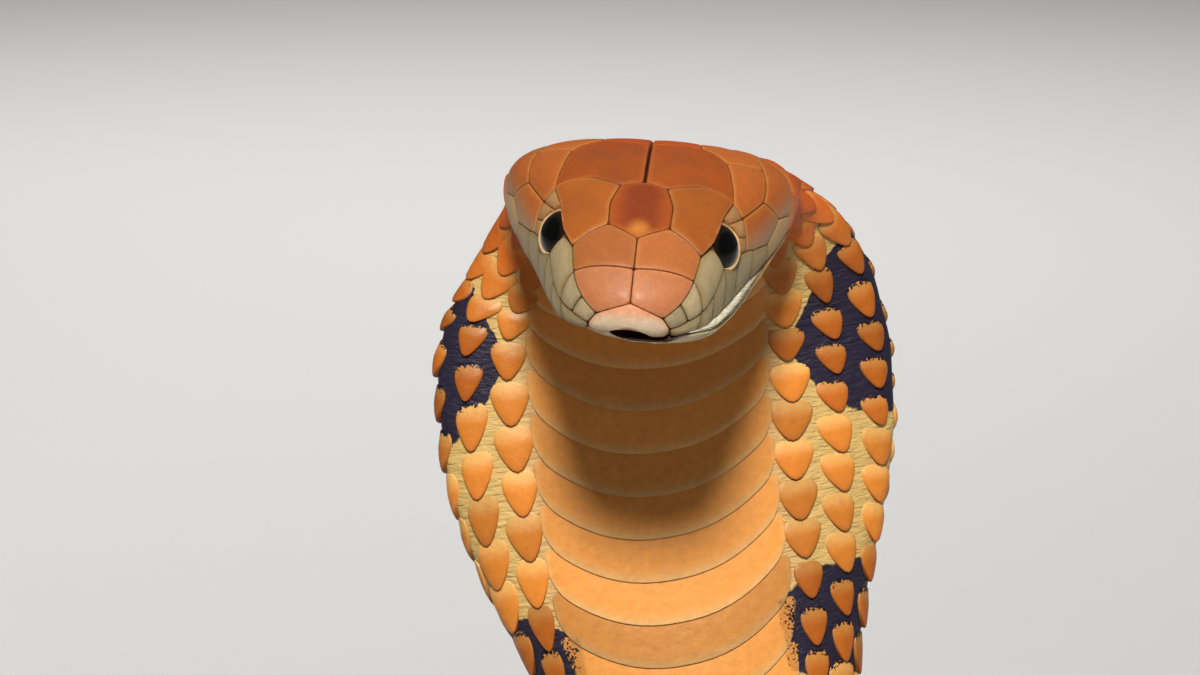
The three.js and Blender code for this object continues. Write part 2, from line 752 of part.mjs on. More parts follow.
function headShields() {
  const paired = [
    ...PAIRED_SHIELDS.map((names) => shieldPair(cornersOf(names))),
    shieldPair(cornersOf(BROW_SHIELD), BROW_LIFT),
    ...LABIAL_TOPS.map((names, k) =>
      shieldPair([
        ...cornersOf(names),
        lipCorner(LABIAL_SUTURES[k + 1]),
        lipCorner(LABIAL_SUTURES[k]),
      ]),
    ),
  ].flat();
  const rostralFoot = [8.2, 2.4, mouthHeight(2.4)];
  const rostral = bothHalves([...cornersOf(ROSTRAL_SHIELD), rostralFoot, [3, 1.2, mouthHeight(2)]]);
  return [...paired, shield(bothHalves(cornersOf(FRONTAL_SHIELD))), shield(rostral)];
}

const shieldPair = (corners, lift) => [shield(corners, lift), shield(mirrored(corners), lift)];

const eyeCentre = (sign) =>
  raised(EYE_AT.s, sign * EYE_AT.phi, -EYE_DEPTH);

function ball(centre, radius) {
  return solidFromGeometry(
    new THREE.SphereGeometry(radius, 16, 10),
    new THREE.Matrix4().setPosition(centre),
  );
}

// A nostril's pit, narrowing inwards.
function nostril(sign) {
  const [across, s, height] = NOSTRIL_AT;
  const place = [sign * across, s, height];
  const outer = onHead(place, NOSTRIL_DEPTH / 2);
  const inward = onHead(place, -NOSTRIL_DEPTH).sub(outer);
  const length = inward.length();
  const turn = new THREE.Quaternion().setFromUnitVectors(new THREE.Vector3(0, 1, 0), inward.normalize());
  const pit = new THREE.ConeGeometry(NOSTRIL_RADIUS * 1.5, length, 9).translate(0, length / 2, 0);
  return solidFromGeometry(pit, new THREE.Matrix4().compose(outer, turn, new THREE.Vector3(1, 1, 1)));
}

// The notch for the tongue, in the lower edge of the foremost shield.
function tongueNotch() {
  const { halfWidth, height, length } = TONGUE_NOTCH;
  const oval = new THREE.SphereGeometry(1, 12, 8);
  const { side, up, back } = frameAt(0);
  const turn = new THREE.Matrix4().makeBasis(side, back, up);
  const at = placed(0.5, 0, mouthHeight(0) + 0.15);
  turn.setPosition(at).scale(new THREE.Vector3(halfWidth, length, height));
  return solidFromGeometry(oval, turn);
}

function makeHead() {
  const sunken = (s) => BASE_INSET * (1 - smoothstep(s, SHIELDS_END - 3, SHIELDS_END + 3));
  const form = wasm.Manifold.union([headForm(sunken), ...headShields()]);
  let head = form.subtract(belowMouth(0, JAW_END));
  head = head.subtract(tongueNotch());
  for (const sign of [-1, 1]) {
    head = head.subtract(ball(eyeCentre(sign), EYE_RADIUS + GAP)).subtract(nostril(sign));
  }
  return head;
}

function makeJaw() {
  return headForm(() => JAW_INSET, JAW_SET_BACK).intersect(belowMouth(GAP, JAW_END - GAP));
}

const materials = {
  crown: new THREE.MeshStandardMaterial({ color: 0xb0562a, roughness: 0.45, metalness: 0 }),
  lips: new THREE.MeshStandardMaterial({ color: 0xb9a982, roughness: 0.45, metalness: 0 }),
  eye: new THREE.MeshStandardMaterial({ color: 0x090807, roughness: 0.08, metalness: 0 }),
  hood: new THREE.MeshStandardMaterial({ color: 0xd98a3c, roughness: 0.55, metalness: 0 }),
  body: new THREE.MeshStandardMaterial({ color: 0x9a7440, roughness: 0.55, metalness: 0 }),
  tail: new THREE.MeshStandardMaterial({ color: 0x4b3a28, roughness: 0.55, metalness: 0 }),
};

const cobra = new THREE.Group();
cobra.name = "king_cobra";

// The points and triangles of a solid, with corners that all but touch made one.
function weldedMesh(solid) {
  const { vertProperties, triVerts } = solid.getMesh();
  const points = [];
  const kept = [];
  for (let k = 0; k < vertProperties.length; k += 3) {
    const point = new THREE.Vector3().fromArray(vertProperties, k);
    let twin = points.findIndex((other) => other.distanceTo(point) < WELD);
    if (twin < 0) twin = points.push(point) - 1;
    kept.push(twin);
  }
  const triangles = [];
  for (let k = 0; k < triVerts.length; k += 3) {
    const [a, b, c] = [kept[triVerts[k]], kept[triVerts[k + 1]], kept[triVerts[k + 2]]];
    if (a !== b && b !== c && c !== a) triangles.push([a, b, c]);
  }
  return { points, triangles };
}

// Adds a node: the largest closed body of the solid, as a mesh.
function addNode(name, solid, material) {
  const largest = (bodies) => bodies.sort((a, b) => b.volume() - a.volume())[0];
  const simple = largest(solid.decompose()).asOriginal().simplify(TOLERANCE);
  const { points, triangles } = weldedMesh(simple);
  const { vertProperties, triVerts } = solidFrom(points, triangles).getMesh();
  const geometry = new THREE.BufferGeometry();
  geometry.setAttribute("position", new THREE.BufferAttribute(vertProperties, 3));
  geometry.setIndex(new THREE.BufferAttribute(triVerts, 1));
  geometry.computeVertexNormals();
  const node = new THREE.Mesh(geometry, material);
  node.name = name;
  cobra.add(node);
}

addNode("head", makeHead(), materials.crown);
addNode("lower_jaw", makeJaw(), materials.lips);
addNode("eye_left", ball(eyeCentre(1), EYE_RADIUS), materials.eye);
addNode("eye_right", ball(eyeCentre(-1), EYE_RADIUS), materials.eye);
addNode("hood_upper", scutedLength(HEAD_END, HOOD_MIDDLE, 9, 34, true), materials.hood);
addNode("hood_lower", scutedLength(HOOD_MIDDLE, HOOD_END, 11, 34, true), materials.hood);
addNode("neck", scutedLength(HOOD_END, NECK_END, 24, 24, false), materials.hood);
addNode("neck_base", scutedLength(NECK_END, BODY_START, 20, 22, false), materials.body);

const bodyStep = (VENT - BODY_START) / BODY_COUNT;
for (let k = 0; k < BODY_COUNT; k++) {
  const from = BODY_START + k * bodyStep;
  addNode(`body_${k + 1}`, bodyLength(from, from + bodyStep, 27, 18), materials.body);
}

const tailStep = (LENGTH - VENT) / TAIL_COUNT;
for (let k = 0; k < TAIL_COUNT; k++) {
  const from = VENT + k * tailStep;
  addNode(`tail_${k + 1}`, bodyLength(from, from + tailStep, 24, 12), materials.tail);
}

export default cobra;
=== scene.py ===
"""A king cobra at life size, as a still model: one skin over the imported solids, with head shields,
belly scutes, scales and eyes as meshes of their own. Lengths are in millimetres until a mesh is made.

A length s runs along the body from the snout (0) to the tip of the tail. An angle phi goes round the
body: 0 is the back, +90 degrees the snake's left, 180 the belly. A reach is a distance along the
skin from the belly's midline, positive towards the snake's left.
"""

import math

import bpy
import numpy as np
from mathutils import Matrix, Vector


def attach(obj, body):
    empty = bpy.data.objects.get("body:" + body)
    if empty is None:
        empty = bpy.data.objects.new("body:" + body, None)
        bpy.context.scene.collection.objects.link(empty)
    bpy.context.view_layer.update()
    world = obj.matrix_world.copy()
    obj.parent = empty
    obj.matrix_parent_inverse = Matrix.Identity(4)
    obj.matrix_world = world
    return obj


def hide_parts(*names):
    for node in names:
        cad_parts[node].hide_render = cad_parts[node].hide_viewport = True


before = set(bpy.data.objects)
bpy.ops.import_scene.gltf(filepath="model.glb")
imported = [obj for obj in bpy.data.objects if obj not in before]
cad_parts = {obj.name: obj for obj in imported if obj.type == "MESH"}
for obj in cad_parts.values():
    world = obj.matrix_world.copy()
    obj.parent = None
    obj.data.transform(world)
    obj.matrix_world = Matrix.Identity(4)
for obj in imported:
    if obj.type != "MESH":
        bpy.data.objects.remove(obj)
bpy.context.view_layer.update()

# The body, as in the part's source: lengths s between which it bends, leans or turns, and degrees.
LENGTH = 3200
VENT = 2560
HEAD_PITCH = 15
HOOD_LEAN = 6
NAPE = (46, 146)
BASE = (490, 685)
ORIGIN_AT = 700
LEAN = -37
LEAN_ENDS = (125, 395)
HEAD_YAW = 4.5
YAW_ENDS = (65, 95)
HEAD_SHIFT = 3.3
SHIFT_ENDS = (70, 130)
HEAD_ROLL = 3.4
ROLL_ENDS = (60, 110)
HOOD_TURN = 8
TURN_ENDS = (75, 135)
TURN_BACK_ENDS = (300, 600)
SIDE_LEVELS_BEFORE = 30
# The coils on the floor: the length of each stretch and how far it turns.
FLOOR_BENDS = (
    (20, 0), (245, 180), (95, 0), (185, 92), (190, 88), (75, 0),
    (500, 182), (75, 0), (590, 168), (140, 6), (270, 84), (160, -46),
)
BEND_BLEND = 45
FLOOR_SHARE = 0.95
# Length s, half width, top, height of the widest place, bottom, and the squareness of each half.
SECTIONS = (
    (0, 13, 5, -4, -8.5, 2.3, 2.2),
    (4, 14.2, 6.2, -4, -10, 2.3, 2.2),
    (10, 16.6, 8.6, -4.5, -12, 2.35, 2.2),
    (18, 19.3, 11.3, -4.5, -14, 2.45, 2.25),
    (26, 21.6, 13.4, -4.5, -15.5, 2.55, 2.3),
    (35, 24.4, 14.9, -4, -17, 2.6, 2.35),
    (45, 28.2, 15.2, -3, -18.5, 2.6, 2.4),
    (56, 31.6, 14, -2, -19.5, 2.6, 2.4),
    (66, 33.6, 12, -1.5, -19, 2.5, 2.4),
    (78, 34.2, 10.6, -1, -17, 2.3, 2.3),
    (86, 34.6, 10.6, -0.5, -14.8, 2.1, 2.2),
    (96, 38.5, 11.4, -0.5, -12.8, 1.95, 2.1),
    (110, 46.8, 12.4, -1, -12, 1.85, 2),
    (126, 54.6, 12.8, -1.5, -12, 1.8, 2),
    (142, 57.8, 12.8, -1.5, -12, 1.8, 2),
    (158, 57.6, 13, -1.5, -12.2, 1.8, 2),
    (174, 55.2, 13.6, -1.5, -12.8, 1.85, 2),
    (190, 50.8, 14.5, -1, -13.8, 1.9, 2),
    (210, 43.8, 16.5, -0.5, -15.5, 2, 2.05),
    (235, 36.8, 19.5, 0, -18, 2.1, 2.1),
    (280, 30.5, 22, 0, -20.5, 2.1, 2.1),
    (330, 27.2, 23.3, 0, -22, 2.1, 2.1),
    (480, 26.5, 24, 0, -23, 2.1, 2.1),
    (700, 28, 25.5, 0, -24, 2.1, 2.1),
    (1300, 31.5, 28.5, -1, -27, 2.1, 2.1),
    (1900, 30.5, 27.5, -1, -26.5, 2.1, 2.1),
    (2350, 26, 23.5, -0.5, -22.5, 2.1, 2.1),
    (2560, 22, 20, 0, -19, 2.1, 2.1),
    (2800, 15, 13.5, 0, -12.5, 2.05, 2.05),
    (3050, 7.6, 7, 0, -6.5, 2, 2),
    (3200, 1.6, 1.5, 0, -1.4, 2, 2),
)
SNOUT = 10
SNOUT_POWER = 2.3
SNOUT_TIP = -2
HEART_HEIGHT = -3
RAY_LIMIT = 3.0
RAY_HALVINGS = 26
MOUTH_LINE = ((-5, -6.2), (4, -6.6), (14, -7.6), (30, -8.8), (45, -8.6), (62, -6.4))
JAW_SET_BACK = 2
JAW_INSET = 0.7
JAW_SKIN_END = 66
JAW_SHIFT = 3.4
JAW_SHIFT_ENDS = (20, 62)
JAW_RISE = 0.5
NOTCH_END = (2.6, 4.8)
LIP_WIDTH = 3.2
# The chin shields: where each pair starts and ends, and its half width.
CHIN_PAIRS = ((6.6, 21.6, 5.9), (21.6, 38, 6.6))
# The small scales of the throat: where they start and end, their pitch, width and most columns.
GULAR_START = 9
GULAR_END = 60
GULAR_PITCH = 4.6
GULAR_WIDTH = 5.2
GULAR_COLUMNS = 9
# The eyes: radius, depth of the centre, turn to the front, gap to what is round them, and s and phi.
EYE_RADIUS = 6.2
EYE_DEPTH = 4.1
EYE_FORWARD = 0.3
EYE_CLEARANCE = 0.12
EYE_AT = (26.5, 61)
NOSTRIL_AT = (11.6, 4.2, -0.4)
# The belly: half its width by length s, at most a share of half the girth, and its shift by length s.
BELLY_HALF_WIDTH = (
    (56, 10), (70, 15), (84, 20), (110, 26), (140, 29.5), (200, 29.5), (260, 27.5), (480, 25.5), (700, 25),
)
BELLY_LIMIT = 0.3
BELLY_SHIFT = ((90, 0), (135, -6), (215, -6), (330, 0))
# The scutes: pitch on the body and on the tail, first edge, bow of the scale rows beside them, how far
# their ends lag, where their ends turn round, and how much wider they are between two places.
SCUTE_PITCH = 10.45
TAIL_PITCH = 7.1
FIRST_EDGE = 78
SCUTE_BOW = 60
SCUTE_LAG = 12.5
SCUTE_END = 0.86
SCUTE_WIDER = 0.9
WIDER_FROM = (100, 130)
WIDER_TO = (330, 420)
SCUTE_LENGTH = 1.08
WIDEST_BELLY = 29.5
FLOOR_CLEARANCE = 0.1

# Corners of the head's shields on the snake's left: distance from the midline, s, and height.
CORNERS = {
    "rostralTop": (0, 1, 1.7),
    "rostralSide": (7, 1.6, -1.5),
    "rostralLow": (8.6, 2.3, -4.2),
    "rostralFoot": (8.2, 2.4, -6.4),
    "notchSide": (4.9, 1.5, -6.3),
    "notchTurn": (3.4, 1, -4.9),
    "notchTop": (0, 0.7, -4.3),
    "nasalTop": (10.8, 4, 1),
    "nasalFoot": (12.2, 4.7, -3.2),
    "snoutMid": (0, 7, 7.1),
    "snoutSide": (13.2, 9.3, 4.2),
    "frontalTip": (0, 15.5, 10.5),
    "frontalFront": (6.8, 19.8, 11.4),
    "frontalSide": (7, 27, 13.2),
    "frontalRear": (5.2, 33.5, 14.6),
    "frontalMid": (0, 35.5, 14.9),
    "browFront": (14.2, 16.2, 6.9),
    "browMiddle": (16.9, 22.2, 7.9),
    "browRear": (18.6, 31.6, 10.1),
    "browCorner": (20.2, 38.2, 10.4),
    "browInner": (12.4, 38, 13.9),
    "parietalSide": (19.2, 46.5, 12.5),
    "parietalTurn": (17.7, 54, 12.7),
    "parietalRear": (11.6, 62.5, 12),
    "parietalMid": (0, 60, 13.2),
    "occipitalRear": (11, 76, 10.2),
    "occipitalMid": (0, 78, 10.6),
    "eyeFront": (16.3, 20.8, 7),
    "eyeLow": (19, 21.2, 2),
    "eyeUnder": (20.5, 25.4, 0.3),
    "eyeBack": (22.6, 31.8, 1.2),
    "eyeRear": (22, 32.6, 4.6),
    "eyeTop": (20.3, 31.8, 8.4),
    "postocular": (23.4, 35.4, 3.6),
    "labial1": (14.4, 8, -2.5),
    "labial2": (17, 13.8, -1.2),
    "labial4": (21.4, 28.4, -0.2),
    "labial5": (25, 38, -0.6),
    "labial7": (33, 62, -1.8),
    "temporalFront": (22.3, 37, 7.2),
    "temporalFoot": (24, 34.5, 0.6),
    "temporalMiddle": (27, 48, 6.8),
    "temporalRear": (26, 60, 9),
    "temporalLow": (30.5, 53, 0.6),
    "temporalBase": (28, 46, -2.6),
    "napeTop": (24, 74, 9),
    "napeSide": (31, 70, 4),
}
# The shields of the snake's left: kind and corners.
PAIRED_SHIELDS = (
    ("internasal", "rostralTop snoutMid snoutSide nasalTop rostralSide"),
    ("prefrontal", "snoutMid frontalTip frontalFront browFront snoutSide"),
    ("brow", "frontalFront frontalSide frontalRear browInner browCorner browRear browMiddle browFront"),
    (
        "parietal",
        "frontalMid frontalRear browInner browCorner parietalSide parietalTurn parietalRear parietalMid",
    ),
    ("parietal", "parietalMid parietalRear occipitalRear occipitalMid"),
    ("nasal", "rostralSide nasalTop nasalFoot rostralLow"),
    ("nasal", "nasalTop snoutSide labial1 nasalFoot"),
    ("ocular", "snoutSide browFront eyeFront eyeLow labial2 labial1"),
    ("ocular", "browRear browCorner temporalFront eyeTop"),
    ("ocular", "eyeTop temporalFront postocular eyeRear"),
    ("ocular", "eyeRear postocular temporalFoot eyeBack"),
    ("temporal", "browCorner parietalSide parietalTurn temporalRear temporalMiddle temporalFront"),
    ("temporal", "temporalFront temporalMiddle temporalLow temporalBase labial5 temporalFoot postocular"),
    ("temporal", "parietalTurn parietalRear occipitalRear napeTop temporalRear"),
    ("temporal", "temporalRear napeTop napeSide labial7 temporalLow temporalMiddle"),
)
FRONTAL_SHIELD = "frontalTip frontalFront frontalSide frontalRear frontalMid"
ROSTRAL_SHIELD = "rostralTop rostralSide rostralLow rostralFoot notchSide notchTurn notchTop"
LABIAL_TOPS = (
    "rostralLow nasalFoot labial1",
    "labial1 labial2",
    "labial2 eyeLow",
    "eyeLow eyeUnder labial4",
    "labial4 eyeBack temporalFoot labial5",
    "labial5 temporalBase",
    "temporalBase temporalLow labial7",
)
LABIAL_SUTURES = (2.4, 7, 12.6, 19.4, 27, 37, 48, 61.5)
# The lower lip: lengths s of its sutures, and how far its shields reach down.
JAW_SUTURES = (4.2, 8.5, 13.5, 19.5, 26.5, 34.5, 44, 54, 63)
JAW_LIP_DEPTH = ((2, 4.2), (20, 5), (55, 6.4))

# How deep the skin lies under the solids, and the profile of a shield's rim: inset and lift.
SKIN_DEPTH = 0.45
SHIELD_RIM = ((-0.2, -0.6), (0.03, 0.02), (0.1, 0.2), (0.24, 0.33), (0.5, 0.4))
SHIELD_SHARES = (0.9, 0.78, 0.64, 0.5, 0.36, 0.22, 0.1)
SHIELD_STEP = 0.5
PARIETAL_GAP = 0.26
BROW_LIFT = 0.6
HEAD_LIFT = 0.15
MILLIMETRE = 0.001
SEED = 21

rng = np.random.default_rng(SEED)


def smooth(t):
    """0 before t = 0, 1 after t = 1, and a smooth step between them."""
    t = np.clip(t, 0, 1)
    return t * t * (3 - 2 * t)


def between(x, start, end):
    """0 before start, 1 after end, and a smooth step between them."""
    return smooth((np.asarray(x, float) - start) / (end - start))


def lerp(a, b, share):
    return a + (b - a) * share


def colour(code):
    """A colour from its six-figure code, in linear light."""
    parts = [int(code[k : k + 2], 16) / 255 for k in (0, 2, 4)]
    return np.array([c / 12.92 if c <= 0.04045 else ((c + 0.055) / 1.055) ** 2.4 for c in parts])


def curve_through(rows):
    """A smooth curve through rows of (s, value, ...) that stays between its rows."""
    rows = np.array(rows, float)
    x, y = rows[:, 0], rows[:, 1:]
    step = np.diff(x)
    slope = np.diff(y, axis=0) / step[:, None]
    tangent = np.concatenate([slope[:1], np.zeros((len(x) - 2, y.shape[1])), slope[-1:]])
    for k in range(1, len(x) - 1):
        before, after = 2 * step[k] + step[k - 1], step[k] + 2 * step[k - 1]
        same = slope[k - 1] * slope[k] > 0
        a = np.where(same, slope[k - 1], 1)
        b = np.where(same, slope[k], 1)
        tangent[k] = np.where(same, (before + after) / (before / a + after / b), 0)

    def curve(s):
        s = np.asarray(s, float)
        k = np.clip(np.searchsorted(x, s, side="right") - 1, 0, len(x) - 2)
        t = np.clip((s - x[k]) / step[k], 0, 1)[..., None]
        h = step[k][..., None]
        return (
            (2 * t**3 - 3 * t**2 + 1) * y[k]
            + (t**3 - 2 * t**2 + t) * h * tangent[k]
            + (3 * t**2 - 2 * t**3) * y[k + 1]
            + (t**3 - t**2) * h * tangent[k + 1]
        )

    return curve


section_row = curve_through(SECTIONS)
mouth_row = curve_through(MOUTH_LINE)
belly_row = curve_through(BELLY_HALF_WIDTH)
shift_row = curve_through(BELLY_SHIFT)
jaw_lip_row = curve_through(JAW_LIP_DEPTH)


def mouth_height(s):
    return mouth_row(s)[..., 0]


def section_at(s, start=0):
    """Half width, top, widest, bottom and the two powers at s, closed to a point at start."""
    half_width, top, widest, bottom, upper, lower = np.moveaxis(section_row(s), -1, 0)
    opened = 1 - np.clip((np.asarray(s, float) - start) / SNOUT, 0, 1)
    share = (1 - opened**SNOUT_POWER) ** (1 / SNOUT_POWER)
    top, widest, bottom = (SNOUT_TIP + (h - SNOUT_TIP) * share for h in (top, widest, bottom))
    return half_width * share, top, widest, bottom, upper, lower


def section_point(section, phi):
    """Sideways and upward distance from the centreline of the surface at phi."""
    half_width, top, widest, bottom, upper, lower = section
    sine, cosine = np.sin(np.radians(phi)), np.cos(np.radians(phi))
    power = 2 / np.where(cosine >= 0, upper, lower)
    height = np.where(cosine >= 0, top - widest, widest - bottom)
    across = half_width * np.sign(sine) * np.abs(sine) ** power
    return across, widest + height * np.sign(cosine) * np.abs(cosine) ** power


def headings(count):
    """The direction of the body at each millimetre, in degrees, with its bends blended."""
    heading = np.zeros(count)
    start, turned = BASE[1], 0
    for length, turn in FLOOR_BENDS:
        s = np.arange(start, count)
        heading[start:] = turned + turn * np.minimum(1, (s - start) / length)
        start += length
        turned += turn
    width = 2 * BEND_BLEND + 1
    for _ in range(2):
        padded = np.pad(heading, BEND_BLEND, mode="edge")
        heading = np.convolve(padded, np.ones(width) / width, mode="valid")
    return heading


def unit(v):
    return v / np.maximum(np.linalg.norm(v, axis=-1, keepdims=True), 1e-9)


def turned_about(v, axis, degrees):
    """Vectors turned about unit axes."""
    angle = np.radians(degrees)[..., None]
    along = np.sum(v * axis, -1, keepdims=True) * axis
    return along + (v - along) * np.cos(angle) + np.cross(axis, v) * np.sin(angle)


def make_centreline():
    """Point, side, up and back at each millimetre."""
    s = np.arange(LENGTH + 1)
    bent = between(s, *NAPE) - between(s, *BASE)
    rise = np.radians(HEAD_PITCH * (1 - between(s, *NAPE)) - (90 + HOOD_LEAN) * bent)
    turn = np.radians(headings(len(s)))
    level = np.cos(rise)
    direction = np.stack([np.sin(turn) * level, np.cos(turn) * level, np.sin(rise)], -1)
    steps = (direction[1:] + direction[:-1]) / 2
    point = np.concatenate([np.zeros((1, 3)), np.cumsum(steps, 0)])
    point -= point[BASE[1]].copy()
    floor = -section_at(s)[3] * FLOOR_SHARE
    point[:, 2] = np.where(s < BASE[1], point[:, 2] + floor[BASE[1]], floor)
    yawed, straight = YAW_ENDS
    eased = np.maximum(straight - np.maximum(s, yawed), 0) ** 2 / (2 * (straight - yawed))
    yaw = (np.maximum(yawed - s, 0) + eased) * math.tan(math.radians(HEAD_YAW))
    shift = HEAD_SHIFT * (1 - between(s, *SHIFT_ENDS))
    point[:, 0] += LEAN * (1 - between(s, *LEAN_ENDS)) - yaw - shift
    point[:, :2] -= point[ORIGIN_AT, :2].copy()
    nearby = np.concatenate([point[:1], point, point[-1:]])
    back = unit(nearby[2:] - nearby[:-2])
    level_side = -np.cross(np.array([0.0, 0, 1]), back)
    share = between(s, BASE[1] - SIDE_LEVELS_BEFORE, BASE[1])[:, None]
    side = np.array([1.0, 0, 0]) * (1 - share) + level_side * share
    side = unit(side - np.sum(side * back, -1, keepdims=True) * back)
    up = np.cross(side, back)
    roll = HEAD_ROLL * (1 - between(s, *ROLL_ENDS))
    roll = roll - HOOD_TURN * between(s, *TURN_ENDS) * (1 - between(s, *TURN_BACK_ENDS))
    return point, turned_about(side, back, roll), turned_about(up, back, roll), back


CENTRELINE = np.stack(make_centreline())


def frame_at(s):
    """The centreline's point, side, up and back at any lengths s."""
    s = np.clip(np.asarray(s, float), 0, LENGTH)
    k = np.minimum(s.astype(int), LENGTH - 1)
    share = (s - k)[..., None]
    return CENTRELINE[:, k] * (1 - share) + CENTRELINE[:, k + 1] * share


def placed(s, across, height):
    """The point at a distance across and a height from the centreline."""
    point, side, up, _ = frame_at(s)
    return point + side * np.asarray(across)[..., None] + up * np.asarray(height)[..., None]


def above_floor(points, s, lowest=0.0):
    """Points with those of the part that rests on the floor no lower than lowest."""
    resting = np.where(np.asarray(s) > BASE[0], lowest, -np.inf)
    points[..., 2] = np.maximum(points[..., 2], resting)
    return points


def on_skin(s, phi):
    return above_floor(placed(s, *section_point(section_at(s), phi)), s)


def normal_at(s, phi):
    along = on_skin(s + 0.5, phi) - on_skin(s - 0.5, phi)
    around = on_skin(s, phi + 1) - on_skin(s, phi - 1)
    return unit(np.cross(around, along))


# Angles by reach: for each length, the angle at even shares of the way from belly to back.
TURN_STEP = 2
TABLE_STEP = 2
SHARES = np.linspace(0, 1, 181)


def make_reach_table():
    stations = np.arange(0, LENGTH + 1, TABLE_STEP, dtype=float)
    turns = np.arange(0, 180 + TURN_STEP, TURN_STEP, dtype=float)
    section = [part[:, None] for part in section_at(stations)]
    across, height = section_point(section, 180 - turns[None])
    spans = np.hypot(np.diff(across, axis=1), np.diff(height, axis=1))
    reach = np.concatenate([np.zeros((len(stations), 1)), np.cumsum(spans, 1)], 1)
    total = reach[:, -1]
    angles = [180 - np.interp(SHARES * t, r, turns) for t, r in zip(total, reach)]
    return total, np.array(angles)


HALF_GIRTHS, ANGLES = make_reach_table()


def half_girth(s):
    return np.interp(s, np.arange(len(HALF_GIRTHS)) * TABLE_STEP, HALF_GIRTHS)


def angle_at(s, reach):
    """The angle phi of the place at a signed reach from the belly's midline."""
    share = np.clip(np.abs(reach) / np.maximum(half_girth(s), 1e-3), 0, 1) * (len(SHARES) - 1)
    row = np.clip(s / TABLE_STEP, 0, len(ANGLES) - 1.001)
    i, j = row.astype(int), np.minimum(share.astype(int), len(SHARES) - 2)
    u, v = row - i, share - j
    low = ANGLES[i, j] * (1 - v) + ANGLES[i, j + 1] * v
    high = ANGLES[i + 1, j] * (1 - v) + ANGLES[i + 1, j + 1] * v
    return np.where(np.asarray(reach) < 0, -1, 1) * (low * (1 - u) + high * u)


def belly_half_width(s):
    return np.minimum(belly_row(s)[..., 0], BELLY_LIMIT * half_girth(s))


def belly_shift(s):
    return shift_row(s)[..., 0]


# The head: its surface is met by a ray from its heart through a place.
def outside_head(place, start):
    """Above 0 outside the head's surface, and below 0 inside it."""
    across, s, height = place[..., 0], place[..., 1], place[..., 2]
    half_width, top, widest, bottom, upper, lower = section_at(np.maximum(s, start + 0.02), start)
    above = height >= widest
    reach = np.where(above, top - widest, widest - bottom)
    power = np.where(above, upper, lower)
    return (np.abs(across) / half_width) ** power + (np.abs(height - widest) / reach) ** power - 1


def on_head(place, lift, start=0):
    """World points, and their [across, s, height], for places moved onto the head and raised."""
    place = np.asarray(place, float)
    heart = np.zeros_like(place)
    heart[..., 1] = np.maximum(place[..., 1], start + SNOUT)
    heart[..., 2] = HEART_HEIGHT
    ray = place - heart
    inside, outside = np.zeros(place.shape[:-1]), np.full(place.shape[:-1], RAY_LIMIT)
    for _ in range(RAY_HALVINGS):
        share = (inside + outside) / 2
        out = outside_head(heart + ray * share[..., None], start) > 0
        inside, outside = np.where(out, inside, share), np.where(out, share, outside)
    hit = heart + ray * inside[..., None]
    nudges = np.eye(3) * 0.05
    slope = [outside_head(hit + n, start) - outside_head(hit - n, start) for n in nudges]
    _, side, up, back = frame_at(hit[..., 1])
    normal = side * slope[0][..., None] + back * slope[1][..., None] + up * slope[2][..., None]
    world = placed(hit[..., 1], hit[..., 0], hit[..., 2])
    outward = unit(side * ray[..., :1] + back * ray[..., 1:2] + up * ray[..., 2:])
    tip = 1 - between(hit[..., 1] - start, 0.2, 1.2)[..., None]
    normal = unit(lerp(unit(normal), outward, tip))
    return world + normal * np.asarray(lift)[..., None], hit


# Markings: dark bands on the hood and body. A band is the way from its front to its rear edge by
# distance from the belly's midline.
BAND_REACH = (30, 36, 39, 45, 51, 60)
BAND_FRONT = (138, 135, 128, 113, 106, 103)
BAND_REAR = (132, 138, 144, 152, 156, 159)
BAND_PITCH = 83
SECOND_BAND = 212
# The later bands: half their length on the neck and on the body, and how much shorter they are at the foot.
BAND_HALF = (15, 29)
BAND_GROWS = (260, 900)
BAND_TAPER = 6
BAND_TAPER_REACH = 14
# The reach of their foot on the neck and on the body, and where it comes down.
BAND_FOOT = (25, 12)
FOOT_DROPS = (600, 1600)
BAND_SLANT = 0.8
BAND_DEPTH_LIMIT = 20
HOOD_TO_BODY = (250, 620)


def band_depth(s, reach):
    """Distance inside the nearest dark band, in millimetres, negative outside all of them."""
    q = np.abs(reach - belly_shift(s))
    front = np.interp(q, BAND_REACH, BAND_FRONT)
    rear = np.interp(q, BAND_REACH, BAND_REAR)
    first = np.minimum(s - front, rear - s) * BAND_SLANT
    order = np.maximum(np.round((s - SECOND_BAND) / BAND_PITCH), 0)
    middle = SECOND_BAND + BAND_PITCH * order
    taper = BAND_TAPER * (1 - smooth((q - BAND_FOOT[0]) / BAND_TAPER_REACH))
    half = lerp(*BAND_HALF, between(s, *BAND_GROWS)) - taper
    foot = lerp(*BAND_FOOT, between(s, *FOOT_DROPS))
    later = np.minimum(half - np.abs(s - middle), (q - foot) * BAND_SLANT)
    return np.clip(np.maximum(first, later), -BAND_DEPTH_LIMIT, BAND_DEPTH_LIMIT)


def aft(s):
    """0 on the hood, 1 on the body, where the colours are darker."""
    return between(s, *HOOD_TO_BODY)


# An unwrap of the skin in four strips, the first for the head and hood, and the size of a scale's patch.
STRIPS = (0, 260, 1240, 2220, 3200)
MAP_MARGIN = 0.01
STRIP_FILL = 0.94
PATCH = 0.003


def unwrap(s, phi, strip_at=None):
    """Places on the map, in the strip that strip_at falls in, or s itself."""
    count = len(STRIPS) - 1
    ends = np.array(STRIPS, float)
    k = np.searchsorted(STRIPS, s if strip_at is None else strip_at, side="right") - 1
    k = np.clip(k, 0, count - 1)
    u = (s - ends[k]) / (ends[k + 1] - ends[k])
    v = (k + 0.5 + STRIP_FILL * phi / 360) / count
    return np.stack([MAP_MARGIN + (1 - 2 * MAP_MARGIN) * u, v], -1)


